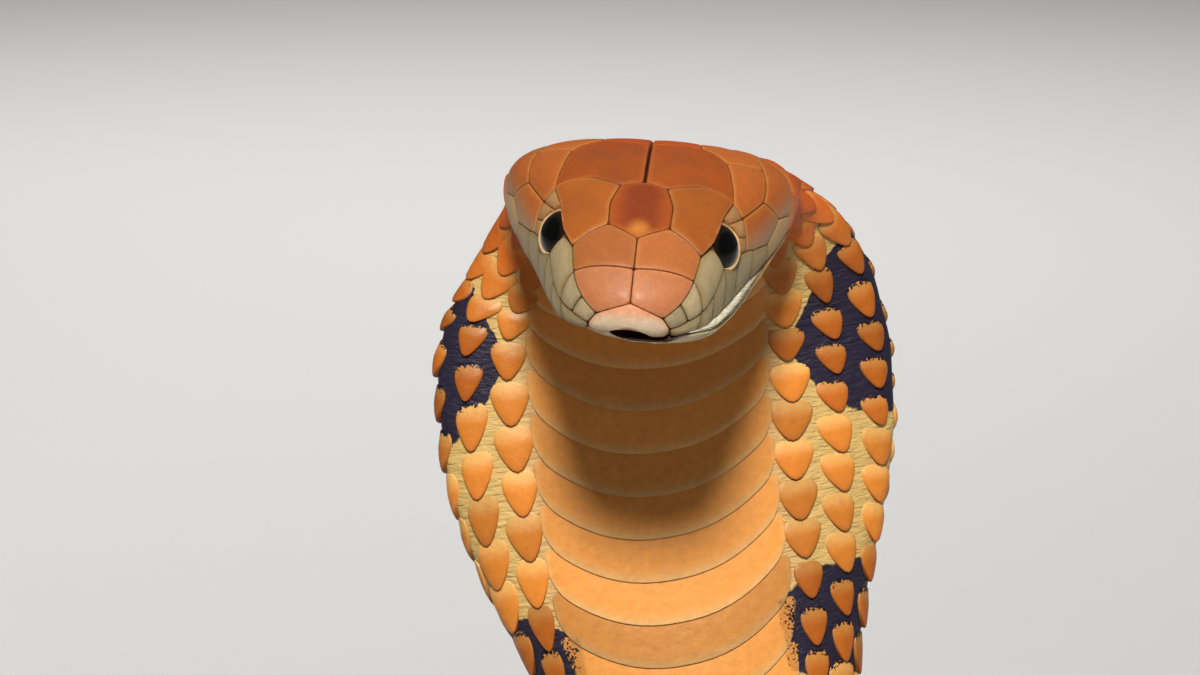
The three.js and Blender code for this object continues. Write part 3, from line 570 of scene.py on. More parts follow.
def unwrap_faces(s, phi, faces):
    """The map by corner, each face kept whole where the angle turns over and where a strip ends."""
    corners = []
    for group in faces:
        angle, length = phi[group], s[group]
        split = np.ptp(angle, axis=1) > 180
        angle = angle + 360 * (split[:, None] & (angle < 0))
        corners.append(unwrap(length, angle, length.min(1)[:, None]).reshape(-1, 2))
    return np.concatenate(corners)


def add_object(name, data):
    thing = bpy.data.objects.new(name, data)
    bpy.context.scene.collection.objects.link(thing)
    return thing


def add_mesh(name, points, faces, uv, attributes, material):
    """A mesh object in metres. faces is a list of arrays of corners, uv is by vertex or by corner."""
    mesh = bpy.data.meshes.new(name)
    loops = np.concatenate([f.ravel() for f in faces]).astype(np.int32)
    sizes = np.concatenate([np.full(len(f), f.shape[1]) for f in faces]).astype(np.int32)
    mesh.vertices.add(len(points))
    mesh.vertices.foreach_set("co", (points * MILLIMETRE).astype(np.float32).ravel())
    mesh.loops.add(len(loops))
    mesh.loops.foreach_set("vertex_index", loops)
    mesh.polygons.add(len(sizes))
    starts = np.concatenate([[0], np.cumsum(sizes)[:-1]]).astype(np.int32)
    mesh.polygons.foreach_set("loop_start", starts)
    mesh.polygons.foreach_set("loop_total", sizes)
    mesh.polygons.foreach_set("use_smooth", np.ones(len(sizes), bool))
    layer = mesh.uv_layers.new(name="OFBake")
    corners = uv if len(uv) == len(loops) and len(uv) != len(points) else uv[loops]
    layer.data.foreach_set("uv", corners.astype(np.float32).ravel())
    for key, values in attributes.items():
        values = np.asarray(values, np.float32)
        if values.ndim == 2:
            values = np.concatenate([values, np.ones((len(values), 1), np.float32)], 1)
            mesh.attributes.new(key, "FLOAT_COLOR", "POINT").data.foreach_set("color", values.ravel())
        else:
            mesh.attributes.new(key, "FLOAT", "POINT").data.foreach_set("value", values)
    mesh.validate()
    mesh.update()
    mesh.materials.append(material)
    piece = add_object(name, mesh)
    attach(piece, "root")
    return piece


def grid_faces(rows, columns, closed=True):
    """Quads of a grid of points, closed round in its columns or open."""
    across = columns if closed else columns - 1
    r, c = np.meshgrid(np.arange(rows - 1) * columns, np.arange(across), indexing="ij")
    after = (c + 1) % columns
    return np.stack([r + c, r + after, r + columns + after, r + columns + c], -1).reshape(-1, 4)


def patch_faces(rings, sides, count):
    """Faces of many like patches: rings from the rim inwards, then the point in the middle."""
    quads = grid_faces(rings, sides)
    last = (rings - 1) * sides + np.arange(sides)
    fan = np.stack([last, np.roll(last, -1), np.full(sides, rings * sides)], -1)
    shift = (np.arange(count) * (rings * sides + 1))[:, None, None]
    return [(quads[None] + shift).reshape(-1, 4), (fan[None] + shift).reshape(-1, 3)]


def marks(tint, dark, band, tone, pepper):
    """What a marked material reads by vertex: colours outside and inside the bands, and three amounts."""
    shape = tint.shape[:-1]
    values = {"tint": tint.reshape(-1, 3), "dark": np.broadcast_to(dark, tint.shape).reshape(-1, 3)}
    for key, amount in (("band", band), ("tone", tone), ("pepper", pepper)):
        values[key] = np.broadcast_to(amount, shape).ravel()
    return values


# How far outside the bands and how free of specks a piece without markings is.
UNBANDED = -10.0
UNPEPPERED = -2.0

# Colours, in linear light.
ORANGE = colour("D8822F")
ORANGE_RIM = colour("E4AC60")
ORANGE_TIP = colour("D97F35")
RED_ORANGE = colour("D9601F")
RED_RIM = colour("E9953F")
# Darker than the nape's red: partly painted shade on the lower side of a scale's tip.
RED_TIP = colour("C9521A")
SKIN_YELLOW = colour("DDB971")
SKIN_DARK = colour("2A2438")
SKIN_HEAD = colour("3A2010")
SKIN_JAW = colour("A07C4C")
BELLY = colour("E39748")
BELLY_RIM = colour("DDB276")
THROAT = colour("D8B98A")
BODY_PALE = colour("C9A257")
BODY_DARK = colour("3B3020")
BODY_SKIN = colour("8A7A50")
PEPPER = colour("1B1522")
# The grain of the bands' ragged edge and how soft it is, in millimetres. The grain of the dark specks,
# how much "pepper" brings out of them, and how soft they are. How much "tone" lightens a scale.
EDGE_GRAIN = 420.0
BAND_EDGE = (-0.35, 0.35)
PEPPER_GRAIN = 1500.0
PEPPER_SHARE = 0.26
PEPPER_EDGE = (0.66, 0.74)
TONE_SHARE = 0.1
# Each kind of shield's colour in its middle and near its rim. Where the rim is lighter, on the orange
# shields of the crown and temples, it is partly a painted highlight where light catches a shield's edge.
SHIELD_COLOURS = {
    "internasal": ("B57046", "BC7A50"),
    "prefrontal": ("AE6534", "B5713F"),
    "brow": ("9E551F", "AC6A34"),
    "frontal": ("83391A", "A8501E"),
    "parietal": ("A14E1C", "B05E26"),
    "nasal": ("B09C7A", "9C8862"),
    "ocular": ("A6936E", "927C50"),
    "temporal": ("B9632A", "BE7434"),
    "labial": ("AD9B74", "8F7C55"),
    "rostral": ("E2C8A8", "D9A67C"),
    "lip": ("E6DFBE", "CFC397"),
    "gular": ("DCCB9C", "CDB680"),
    "mental": ("E2D8B4", "C9BA8C"),
    "chin": ("D9CFA9", "C9B98C"),
}
EYE_RING = colour("D2AC7C")
EYE_SLOPE = colour("8A5A34")
# Painted shade: near black for the skin in the gap of the mouth and in the tongue's notch.
MOUTH_SHADE = colour("2A0F0A")
LIP_EDGE = colour("E6E0C8")
EYE_SOCKET = colour("6E5836")
CROWN_SUTURE = colour("5E2A12")
PALE_SUTURE = colour("4A3D22")
PALE_KINDS = ("labial", "lip", "mental", "chin", "nasal", "ocular")


def link_value(tree, socket, source):
    """A socket fed by another socket, or set to a number or a colour."""
    if isinstance(source, bpy.types.NodeSocket):
        tree.links.new(source, socket)
    else:
        socket.default_value = source


def math_node(tree, operation, a, b):
    node = tree.nodes.new("ShaderNodeMath")
    node.operation = operation
    link_value(tree, node.inputs[0], a)
    link_value(tree, node.inputs[1], b)
    return node.outputs[0]


def range_node(tree, value, low, high):
    """0 below low, 1 above high, and a smooth step between them."""
    node = tree.nodes.new("ShaderNodeMapRange")
    node.interpolation_type = "SMOOTHSTEP"
    for k, source in enumerate((value, low, high)):
        link_value(tree, node.inputs[k], source)
    return node.outputs[0]


def mix_node(tree, share, a, b):
    """Colour a, with a share of colour b."""
    node = tree.nodes.new("ShaderNodeMix")
    node.data_type = "RGBA"
    link_value(tree, node.inputs[0], share)
    link_value(tree, node.inputs[6], a)
    link_value(tree, node.inputs[7], b)
    return node.outputs[2]


def attribute_node(tree, name, output="Fac"):
    node = tree.nodes.new("ShaderNodeAttribute")
    node.attribute_name = name
    return node.outputs[output]


def noise_node(tree, vector, scale, detail=2.0, distortion=0.0):
    node = tree.nodes.new("ShaderNodeTexNoise")
    link_value(tree, node.inputs["Vector"], vector)
    node.inputs["Scale"].default_value = scale
    node.inputs["Detail"].default_value = detail
    node.inputs["Distortion"].default_value = distortion
    return node.outputs["Fac"]


def new_material(name, roughness, coat, subsurface=0.0):
    """A material, its node tree and its surface shader."""
    material = bpy.data.materials.new(name)
    material.use_nodes = True
    tree = material.node_tree
    shader = tree.nodes["Principled BSDF"]
    shader.inputs["Roughness"].default_value = roughness
    shader.inputs["Coat Weight"].default_value = coat
    shader.inputs["Coat Roughness"].default_value = 0.25
    shader.inputs["Specular IOR Level"].default_value = 0.28
    shader.inputs["Subsurface Weight"].default_value = subsurface
    shader.inputs["Subsurface Radius"].default_value = (0.0022, 0.001, 0.0005)
    shader.inputs["Subsurface Scale"].default_value = 1.0
    return material, tree, shader


def object_coordinates(tree):
    return tree.nodes.new("ShaderNodeTexCoord").outputs["Object"]


def add_bump(tree, shader, heights, distance):
    """Bump from a sum of weighted heights."""
    total = 0.0
    for weight, height in heights:
        total = math_node(tree, "ADD", total, math_node(tree, "MULTIPLY", height, weight))
    bump = tree.nodes.new("ShaderNodeBump")
    bump.inputs["Strength"].default_value = 1.0
    bump.inputs["Distance"].default_value = distance
    link_value(tree, bump.inputs["Height"], total)
    link_value(tree, shader.inputs["Normal"], bump.outputs[0])


def marked_colour(tree, place, wobble):
    """The colour of a marked surface: its own tint, and its dark tint inside the bands."""
    edge = math_node(tree, "SUBTRACT", noise_node(tree, place, EDGE_GRAIN, 3.0), 0.5)
    band = attribute_node(tree, "band")
    depth = math_node(tree, "ADD", band, math_node(tree, "MULTIPLY", edge, wobble))
    inside = range_node(tree, depth, *BAND_EDGE)
    tint = attribute_node(tree, "tint", "Color")
    marked = mix_node(tree, inside, tint, attribute_node(tree, "dark", "Color"))
    speck = math_node(tree, "MULTIPLY", attribute_node(tree, "pepper"), PEPPER_SHARE)
    speck = math_node(tree, "ADD", noise_node(tree, place, PEPPER_GRAIN, 2.0), speck)
    speck = range_node(tree, speck, *PEPPER_EDGE)
    return mix_node(tree, speck, marked, (*PEPPER, 1))


def mottled(tree, place, base, scale, amount):
    """A colour made lighter and darker in patches."""
    patches = math_node(tree, "SUBTRACT", noise_node(tree, place, scale, 3.0), 0.5)
    patches = math_node(tree, "MULTIPLY", patches, amount)
    own = math_node(tree, "MULTIPLY", attribute_node(tree, "tone"), TONE_SHARE)
    value = math_node(tree, "ADD", patches, own)
    adjust = tree.nodes.new("ShaderNodeHueSaturation")
    link_value(tree, adjust.inputs["Value"], math_node(tree, "ADD", value, 1.0))
    link_value(tree, adjust.inputs["Color"], base)
    return adjust.outputs[0]


def make_skin_material():
    material, tree, shader = new_material("skin", 0.5, 0.1, 0.06)
    place = object_coordinates(tree)
    base = mottled(tree, place, marked_colour(tree, place, 2.4), 260.0, 0.3)
    link_value(tree, shader.inputs["Base Color"], base)
    weave = attribute_node(tree, "weave", "Color")
    wrinkles = noise_node(tree, weave, 1.0, 3.0, 0.6)
    add_bump(tree, shader, [(1.0, wrinkles), (0.15, noise_node(tree, place, 1400.0))], MILLIMETRE)
    return material


def make_scale_material(name, roughness, coat, grain, speckle=3200.0):
    material, tree, shader = new_material(name, roughness, coat, 0.03)
    place = object_coordinates(tree)
    base = mottled(tree, place, marked_colour(tree, place, 1.6), 500.0, 0.3)
    base = mottled(tree, place, base, speckle, 0.25)
    link_value(tree, shader.inputs["Base Color"], base)
    heights = [(1.0, noise_node(tree, place, 380.0)), (0.3, noise_node(tree, place, 2200.0))]
    add_bump(tree, shader, heights, grain)
    return material


SKIN_MATERIAL = make_skin_material()
SCALE_MATERIAL = make_scale_material("scales", 0.45, 0.1, 0.00022)
SHIELD_MATERIAL = make_scale_material("shields", 0.52, 0.05, 0.0002, 1500.0)
SCUTE_MATERIAL = make_scale_material("scutes", 0.45, 0.1, 0.00025)


# The skin.
HEAD_SIDES = 192
BODY_SIDES = HEAD_SIDES // 2
SNOUT_ROWS = 14
HEAD_SKIN_END = 98
JAW_STEP = 1.5
# Stretches of rows behind the head: start, end and step.
BODY_STATIONS = ((HEAD_SKIN_END + 1.2, 262, 1.25), (263, 500, 2.5), (501, LENGTH - 1, 5))
# The nostrils: how far each reaches, how deep it is, and the foremost length s that it points to.
NOSTRIL_REACH = 1.5
NOSTRIL_DEPTH = 2.6
DENTS_TOWARD = 12
# The notch for the tongue: half width, height of its middle, half height, depth.
NOTCH = (4.6, -6.6, 2.5, 4)
NOTCH_LENGTH = 8
# Shares of its size between which its depth fades, and within which it is painted dark as shade.
NOTCH_RIM = (0.6, 1.1)
NOTCH_SHADE = 1.15
# The mouth: where it ends, where the head's skin closes below it, a height lower than all of the
# head, and the gap over the lower jaw, which is wider at the notch.
MOUTH_END = 60
MOUTH_CLOSES = (58, 64)
UNDER_CHIN = -40
JAW_GAP = 0.5
NOTCH_GAP = 1.5
# Where the skin's colours change: by angle on the back and on the jaw, by length, beside the belly,
# and round an eye, by length and by angle.
BACK_ANGLE = 80
BACK_SHADE = 0.8
JAW_ANGLES = (105, 125)
NECK_PALES = (60, 88)
BELLY_PALES = (90, 130)
BELLY_FADE = 6
SOCKET_SIZE = (10, 26)
# How often the skin's wrinkles repeat along it and across.
WEAVE = (0.9, 0.22)


def nostril_centres():
    """Points of the head's surface at the left and the right nostril."""
    across, s, height = NOSTRIL_AT
    return on_head(np.array([[across, s, height], [-across, s, height]]), np.zeros(2))[0]


NOSTRILS = nostril_centres()


def notch_distance(across, height):
    """Distance from the middle of the tongue's notch, 1 at its edge."""
    wide, middle, tall, _ = NOTCH
    return np.hypot(across / wide, (height - middle) / tall)


def dented(points, s, across, height):
    """Points pushed in at the nostrils and at the notch for the tongue."""
    centre = frame_at(np.maximum(s, DENTS_TOWARD))[0]
    for nostril in NOSTRILS:
        gap = np.linalg.norm(points - nostril, axis=-1)
        depth = NOSTRIL_DEPTH * (1 - smooth(gap / NOSTRIL_REACH))
        points = points + unit(centre - points) * depth[..., None]
    back = frame_at(s)[3]
    depth = NOTCH[3] * (1 - between(notch_distance(across, height), *NOTCH_RIM)) * (s < NOTCH_LENGTH)
    return points + back * depth[..., None]


def skin_tints(s, reach, phi, inside):
    """The skin's colour outside and inside the dark bands, painted dark as shade in the mouth (1), and on
    the lower lip (2).
    """
    turned = np.abs(phi)
    front = lerp(SKIN_HEAD, SKIN_JAW, between(turned, *JAW_ANGLES)[..., None])
    front = lerp(front, SKIN_YELLOW, between(s, *NECK_PALES)[..., None])
    body = lerp(front, BODY_SKIN, aft(s)[..., None])
    beside = np.abs(reach - belly_shift(s)) - belly_half_width(s)
    belly = (1 - smooth(beside / BELLY_FADE)) * between(s, *BELLY_PALES)
    tint = lerp(body, BELLY_RIM, belly[..., None])
    tint = np.where((turned < BACK_ANGLE)[..., None], tint * BACK_SHADE, tint)
    away = np.hypot((s - EYE_AT[0]) / SOCKET_SIZE[0], (turned - EYE_AT[1]) / SOCKET_SIZE[1])
    socket = 1 - smooth(away * 2 - 1)
    tint = lerp(tint, EYE_SOCKET, socket[..., None])
    # Painted shade in the mouth's gap and the tongue's notch.
    tint = np.where(inside[..., None] > 0, MOUTH_SHADE, tint)
    tint = np.where(inside[..., None] > 1, LIP_EDGE, tint)
    return tint, lerp(SKIN_DARK, BODY_DARK * 0.5, aft(s)[..., None])


def reach_of(s, phi):
    """The signed reach of a place given by its angle."""
    row = np.clip(s / TABLE_STEP, 0, len(ANGLES) - 1).astype(int)
    flat_row, flat_phi = row.ravel(), np.abs(phi).ravel()
    reach = np.empty(len(flat_row))
    for k in np.unique(flat_row):
        at = flat_row == k
        reach[at] = np.interp(-flat_phi[at], -ANGLES[k], SHARES) * HALF_GIRTHS[k]
    return reach.reshape(np.shape(phi)) * np.where(np.asarray(phi) < 0, -1, 1)


def jaw_shift(s):
    """The lower jaw rests a little to the snake's left, and closes up under the upper lip."""
    _, side, up, _ = frame_at(s)
    rise = JAW_RISE * between(s, *NOTCH_END)[..., None]
    return (side * JAW_SHIFT + up * rise) * (1 - between(s, *JAW_SHIFT_ENDS))[..., None]


def skin_rows(stations, sides, start=0, inset=SKIN_DEPTH):
    """Points of the skin at stations, with s, phi, and 1 in the mouth, 2 on the lower lip, of each."""
    phi = np.arange(sides) * 360 / sides
    phi = np.where(phi > 180, phi - 360, phi)
    s, phi = np.meshgrid(stations, phi, indexing="ij")
    across, open_height = section_point(section_at(s, start), phi)
    if start > 0:
        roof = mouth_height(s) - JAW_GAP - NOTCH_GAP * (1 - between(s, *NOTCH_END))
        height = np.minimum(open_height, roof)
    else:
        lowest = lerp(mouth_height(s), UNDER_CHIN, between(s, *MOUTH_CLOSES))
        height = np.maximum(open_height, lowest)
    inside = ((height != open_height) & (s < MOUTH_END)).astype(int)
    points = above_floor(placed(s, across, height), s)
    points = points + unit(frame_at(s)[0] - points) * inset
    if start > 0:
        points = points + jaw_shift(s)
        rim = section_at(s, start)[0] - np.abs(across) < LIP_WIDTH
        inside += (inside > 0) & rim & (s > NOTCH_END[1])
    else:
        points = dented(points, s, across, height)
        # The tongue's notch is painted dark as shade.
        notch = (s < NOTCH_LENGTH) & (notch_distance(across, height) < NOTCH_SHADE)
        inside = np.maximum(inside, notch)
    return points, s, phi, inside


def skin_stations():
    """Lengths s of the skin's rows: of the head, of the hood and body, and of the lower jaw."""
    snout = SNOUT * (np.arange(1, SNOUT_ROWS + 1) / SNOUT_ROWS) ** 2
    head = [snout, np.arange(SNOUT + 1, HEAD_SKIN_END + 1)]
    body = [*(np.arange(*stretch) for stretch in BODY_STATIONS), [LENGTH - 0.5]]
    jaw = [JAW_SET_BACK + snout, np.arange(JAW_SET_BACK + SNOUT + JAW_STEP, JAW_SKIN_END, JAW_STEP)]
    return [np.concatenate(rows) for rows in (head, body, jaw)]


def skin_faces(parts):
    """Faces of the head, body and jaw, the join of the first two, and the four ends."""
    starts = np.cumsum([0, *(part[1].size for part in parts)])
    faces = [grid_faces(*part[1].shape) + start for part, start in zip(parts, starts)]
    k = np.arange(BODY_SIDES)
    collar = starts[1] - HEAD_SIDES
    front = [collar + 2 * k, collar + 2 * k + 1, collar + (2 * k + 2) % HEAD_SIDES]
    join = np.stack([*front, starts[1] + (k + 1) % BODY_SIDES, starts[1] + k], -1)
    ends = [np.arange(HEAD_SIDES)[::-1], starts[2] - BODY_SIDES + k]
    ends += [starts[2] + k[::-1], starts[3] - BODY_SIDES + k]
    return [*faces, join, *(end[None] for end in ends)]


def make_skin():
    """The whole skin in one mesh, with the lower jaw's own under the head's."""
    head, body, jaw = skin_stations()
    parts = [
        skin_rows(head, HEAD_SIDES),
        skin_rows(body, BODY_SIDES),
        skin_rows(jaw, BODY_SIDES, JAW_SET_BACK, SKIN_DEPTH + JAW_INSET),
    ]
    faces = skin_faces(parts)
    points = np.concatenate([part[0].reshape(-1, 3) for part in parts])
    s, phi, inside = (np.concatenate([part[k].ravel() for part in parts]) for k in (1, 2, 3))
    reach = reach_of(s, phi)
    tint, dark = skin_tints(s, reach, phi, inside)
    attributes = marks(tint, dark, band_depth(s, reach), 0.0, UNPEPPERED)
    attributes["weave"] = np.stack([s * WEAVE[0], reach * WEAVE[1], np.zeros_like(s)], -1)
    skin = add_mesh("skin", points, faces, unwrap_faces(s, phi, faces), attributes, SKIN_MATERIAL)
    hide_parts(*[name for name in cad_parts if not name.startswith("eye_")])
    return skin


make_skin()


# The shields of the head.
def corners_of(names):
    return np.array([CORNERS[name] for name in names.split()], float)


def mirrored(corners):
    return corners * [-1, 1, 1]


def on_both_sides(shields):
    return [(kind, side(corners)) for kind, corners in shields for side in (np.array, mirrored)]


def both_halves(corners):
    """An outline across the midline from the corners of its left half."""
    back = [row for row in mirrored(corners)[::-1] if row[0] != 0]
    return np.vstack([corners, back])


def evenly_round(corners, count=None):
    """Points at even steps round a closed outline."""
    loop = np.vstack([corners, corners[:1]])
    along = np.concatenate([[0], np.cumsum(np.linalg.norm(np.diff(loop, axis=0), axis=1))])
    count = count or max(20, int(round(along[-1] / SHIELD_STEP)))
    at = np.arange(count) * along[-1] / count
    return np.stack([np.interp(at, along, values) for values in loop.T], -1)


def outline_through(corners):
    """Points at even steps round a shield, with its corners rounded."""
    points = evenly_round(corners)
    return sum(np.roll(points, k, axis=0) for k in (-1, 0, 1)) / 3


def lip_corner(s, drop=0.0):
    """A place on the edge of the upper lip, or as far as drop under it."""
    return np.array([section_at(s)[0], s, mouth_height(s) - drop])


def jaw_place(s, drop):
    """A place on the lower jaw, as far as drop under the line of the mouth."""
    half_width, _, widest, bottom, _, power = section_at(s, JAW_SET_BACK)
    height = max(mouth_height(s) - drop, bottom + 0.3)
    across = half_width * (1 - min(abs((height - widest) / (widest - bottom)), 1) ** power) ** (1 / power)
    return np.array([across, s, height])


def lip_drop(s):
    """How far the lower lip's edge lies under the line of the mouth, more under the tongue's notch."""
    return 0.12 + 1.3 * (1 - between(s, *NOTCH_END))


def head_shields():
    """Kind and outline of each shield of the head above the mouth."""
    shields = [(kind, corners_of(names)) for kind, names in PAIRED_SHIELDS]
    for names, front, rear in zip(LABIAL_TOPS, LABIAL_SUTURES, LABIAL_SUTURES[1:]):
        middle = lip_corner((front + rear) / 2, 0.15)
        foot = np.array([lip_corner(rear), middle, lip_corner(front)])
        shields.append(("labial", np.vstack([corners_of(names), foot])))
    single = [("frontal", FRONTAL_SHIELD), ("rostral", ROSTRAL_SHIELD)]
    return on_both_sides(shields) + [(kind, both_halves(corners_of(names))) for kind, names in single]


def chin_place(s, across):
    """A place under the lower jaw."""
    half_width, _, widest, bottom, _, power = section_at(s, JAW_SET_BACK)
    share = min(abs(across) / half_width, 1) ** power
    return np.array([across, s, widest + (bottom - widest) * (1 - share) ** (1 / power)])


def gular_scales():
    """The small scales between the chin shields, the lower lip and the first scute."""
    scales = []
    turns = np.radians(np.arange(0, 360, 30))
    for row, s in enumerate(np.arange(GULAR_START, GULAR_END, GULAR_PITCH)):
        limit = jaw_place(s, float(jaw_lip_row(s)[0]))[0] - GULAR_WIDTH * 0.05
        for across in (np.arange(GULAR_COLUMNS) + 0.5 * (row % 2)) * GULAR_WIDTH:
            beside_pairs = s < CHIN_PAIRS[-1][1] + 2 and across < CHIN_PAIRS[0][2] + GULAR_WIDTH * 0.4
            if across > limit or beside_pairs:
                continue
            lengths = s - np.cos(turns) * GULAR_PITCH * 0.6
            for side in (1, -1) if across > 0 else (1,):
                widths = side * across + np.sin(turns) * GULAR_WIDTH * 0.5
                scales.append(("gular", np.array([chin_place(*at) for at in zip(lengths, widths)])))
    return scales


def jaw_shields():
    """Kind and outline of each shield of the lower lip and chin."""
    shields = []
    for front, rear in zip(JAW_SUTURES, JAW_SUTURES[1:]):
        low = [float(jaw_lip_row(s)[0]) for s in (front, rear)]
        top = [jaw_place(s, lip_drop(s)) for s in (front, (front + rear) / 2, rear)]
        shields.append(("lip", np.array([*top, jaw_place(rear, low[1]), jaw_place(front, low[0])])))
    both = on_both_sides(shields)
    mental = [jaw_place(2.6, lip_drop(2.6)), jaw_place(JAW_SUTURES[0], lip_drop(JAW_SUTURES[0]))]
    mental = [[0, 2.2, mental[0][2] - 0.8], *mental, jaw_place(JAW_SUTURES[0], 3.4), [0, 6.6, -10.5]]
    both.append(("mental", both_halves(np.array(mental))))
    for front, rear, wide in CHIN_PAIRS:
        bottoms = [section_at(s, JAW_SET_BACK)[3] for s in (front, rear)]
        pair = [(0.2, front, bottoms[0]), (wide, front + 2.5, bottoms[0]), (wide, rear - 3, bottoms[1])]
        pair = np.array([*pair, (0.2 + wide * 0.3, rear, bottoms[1]), (0.2, rear - 3, bottoms[1])])
        both += on_both_sides([("chin", pair)])
    return both + gular_scales()


def softened(ring, passes):
    """A closed ring of points, evened out a number of times."""
    for _ in range(passes):
        ring = (ring * 2 + np.roll(ring, 1, axis=0) + np.roll(ring, -1, axis=0)) / 4
    return ring


def shield_patch(outline):
    """Places, lifts and distances from the rim of a shield's rings and its centre."""
    centre = outline.mean(0)
    after = np.roll(outline, -1, axis=0)
    facing = np.cross(outline - centre, after - centre).sum(0)
    if np.dot(facing, centre - [0, max(centre[1], SNOUT), HEART_HEIGHT]) < 0:
        return shield_patch(outline[::-1])
    tangent = after - np.roll(outline, 1, axis=0)
    inward = unit(np.cross(facing, tangent))
    rings, lifts, edges = [], [], []
    rim_inset, rim_lift = SHIELD_RIM[-1]
    for inset, lift in SHIELD_RIM:
        rings.append(softened(outline + inward * inset, int(inset * 12)))
        lifts.append(np.full(len(outline), lift))
        edges.append(np.full(len(outline), max(inset, 0)))
    rim = rings[-1]
    span = np.linalg.norm(rim - centre, axis=1)
    for share in SHIELD_SHARES:
        rings.append(centre + (rim - centre) * share)
        lifts.append(np.full(len(outline), rim_lift + HEAD_LIFT * (1 - share**2)))
        edges.append(span * (1 - share) + rim_inset)
    places = np.vstack([*rings, centre[None]])
    lifts = np.concatenate([*lifts, [rim_lift + HEAD_LIFT]])
    return places, lifts, np.concatenate([*edges, [span.mean()]])


def eye_frame(sign):
    """An eye's centre, its outward direction, and two directions square to that."""
    s, phi = np.array([EYE_AT[0]]), np.array([sign * EYE_AT[1]], float)
    normal = normal_at(s, phi)[0]
    along = frame_at(EYE_AT[0])[3]
    out = unit(normal - along * EYE_FORWARD)
    along = unit(along - out * np.dot(along, out))
    return on_skin(s, phi)[0] - normal * EYE_DEPTH, out, along, np.cross(out, along)


def clear_of_eyes(points, radius):
    """Points inside a ball about an eye are pushed out to its surface."""
    for sign in (-1, 1):
        centre = eye_frame(sign)[0]
        away = points - centre
        gap = np.linalg.norm(away, axis=1, keepdims=True)
        points = np.where(gap < radius, centre + away / np.maximum(gap, 1e-6) * radius, points)
    return points


def patchy(x, s):
    """Soft uneven patches over the crown, from 0 to 1."""
    waves = np.sin(x * 0.34 + 1.3 * np.sin(s * 0.23)) * np.sin(s * 0.3 + 1.1 * np.sin(x * 0.31 + 2))
    return smooth(waves * 0.8 + 0.35)


def frontal_spot(x, s, height):
    """The pale spot at the front tip of the frontal shield, from 0 to 1."""
    return 1 - smooth(np.sqrt(x**2 + (s - 18.5) ** 2 + (height - 11) ** 2) / 3.9)


# Colours laid over shields: the kinds, the colour, and its share at a place.
WASHES = (
    (("frontal",), "A3501F", lambda x, s, height: 0.7 * between(np.abs(x), 2, 6)),
    (("frontal",), "CC8236", lambda x, s, height: 0.9 * frontal_spot(x, s, height)),
    (("rostral",), "D98A62", lambda x, s, height: 0.8 * between(height, -3, 1)),
    (("temporal",), "BA946A", lambda x, s, height: between(height, 6, -2)),
    (("labial", "lip", "mental"), "D9A868", lambda x, s, height: 0.6 * between(s, 26, 60)),
    (("ocular",), "B4783F", lambda x, s, height: 0.65 * between(s, 25, 30)),
    (("gular",), "CC8748", lambda x, s, height: between(s, 20, 62)),
    (("brow", "parietal"), "7E4526", lambda x, s, height: 0.35 * patchy(x, s)),
    (("parietal",), "BE4E18", lambda x, s, height: 0.8 * between(s, 45, 74)),
)


def shield_colours(kind, place, edge):
    """The colour of a shield's points, from its kind, their places and their distances from the rim."""
    base, rim = (colour(code) for code in SHIELD_COLOURS[kind])
    suture = PALE_SUTURE if kind in PALE_KINDS else CROWN_SUTURE
    # On the crown the lighter rim is partly a painted highlight on the shield's edge.
    tint = lerp(rim, base, smooth(edge / 1.6)[:, None])
    tint = lerp(suture, tint, smooth((edge - 0.02) / 0.2)[:, None])
    for kinds, code, share in WASHES:
        if kind in kinds:
            tint = lerp(tint, colour(code), share(*place.T)[:, None])
    return tint


def make_shields(name, shields, start=0, sink=0.0):
    """One mesh of many shields."""
    rows, faces, count = [], [], 0
    for kind, corners in shields:
        outline = outline_through(corners)
        if kind == "parietal":
            half = np.maximum(np.abs(outline[:, 0]), PARIETAL_GAP)
            outline[:, 0] = np.sign(corners[:, 0].sum()) * half
        place, lift, edge = shield_patch(outline)
        if kind == "brow":
            lift = lift + BROW_LIFT * between(np.abs(place[:, 0]), 12, 17) * (lift > 0)
        world, hit = on_head(place, lift - sink, start)
        across, s, height = hit.T
        if start > 0:
            above = np.maximum(height - mouth_height(s) + lip_drop(s), 0)
            world = world - frame_at(s)[2] * above[:, None] + jaw_shift(s)
        world = clear_of_eyes(world, EYE_RADIUS + EYE_CLEARANCE)
        phi = np.degrees(np.arctan2(across, height - section_at(np.maximum(s, 0.1), start)[2]))
        tone = np.full(len(place), rng.uniform(-0.6, 0.6))
        rows.append((world, shield_colours(kind, hit, edge), unwrap(s, phi), tone))
        sides = len(outline)
        faces.append([group + count for group in patch_faces((len(place) - 1) // sides, sides, 1)])
        count += len(place)
    points, tint, uv, tone = (np.concatenate(column) for column in zip(*rows))
    groups = [np.vstack(group) for group in zip(*faces)]
    attributes = marks(tint, tint, UNBANDED, tone, UNPEPPERED)
    return add_mesh(name, points, groups, uv, attributes, SHIELD_MATERIAL)


make_shields("head_shields", head_shields())
make_shields("jaw_shields", jaw_shields(), JAW_SET_BACK, -0.15)


# The eyes: their colours, and where the pupil and the iris end, as shares of the radius.
PUPIL_COLOUR = (0.001, 0.001, 0.001, 1)
IRIS_DARK = (0.004, 0.002, 0.001, 1)
IRIS_LIGHT = (0.016, 0.008, 0.004, 1)
EYE_EDGE = (0.004, 0.003, 0.002, 1)
PUPIL_END = (0.5, 0.56)
IRIS_END = (0.8, 0.95)
STREAK_GRAIN = 900.0


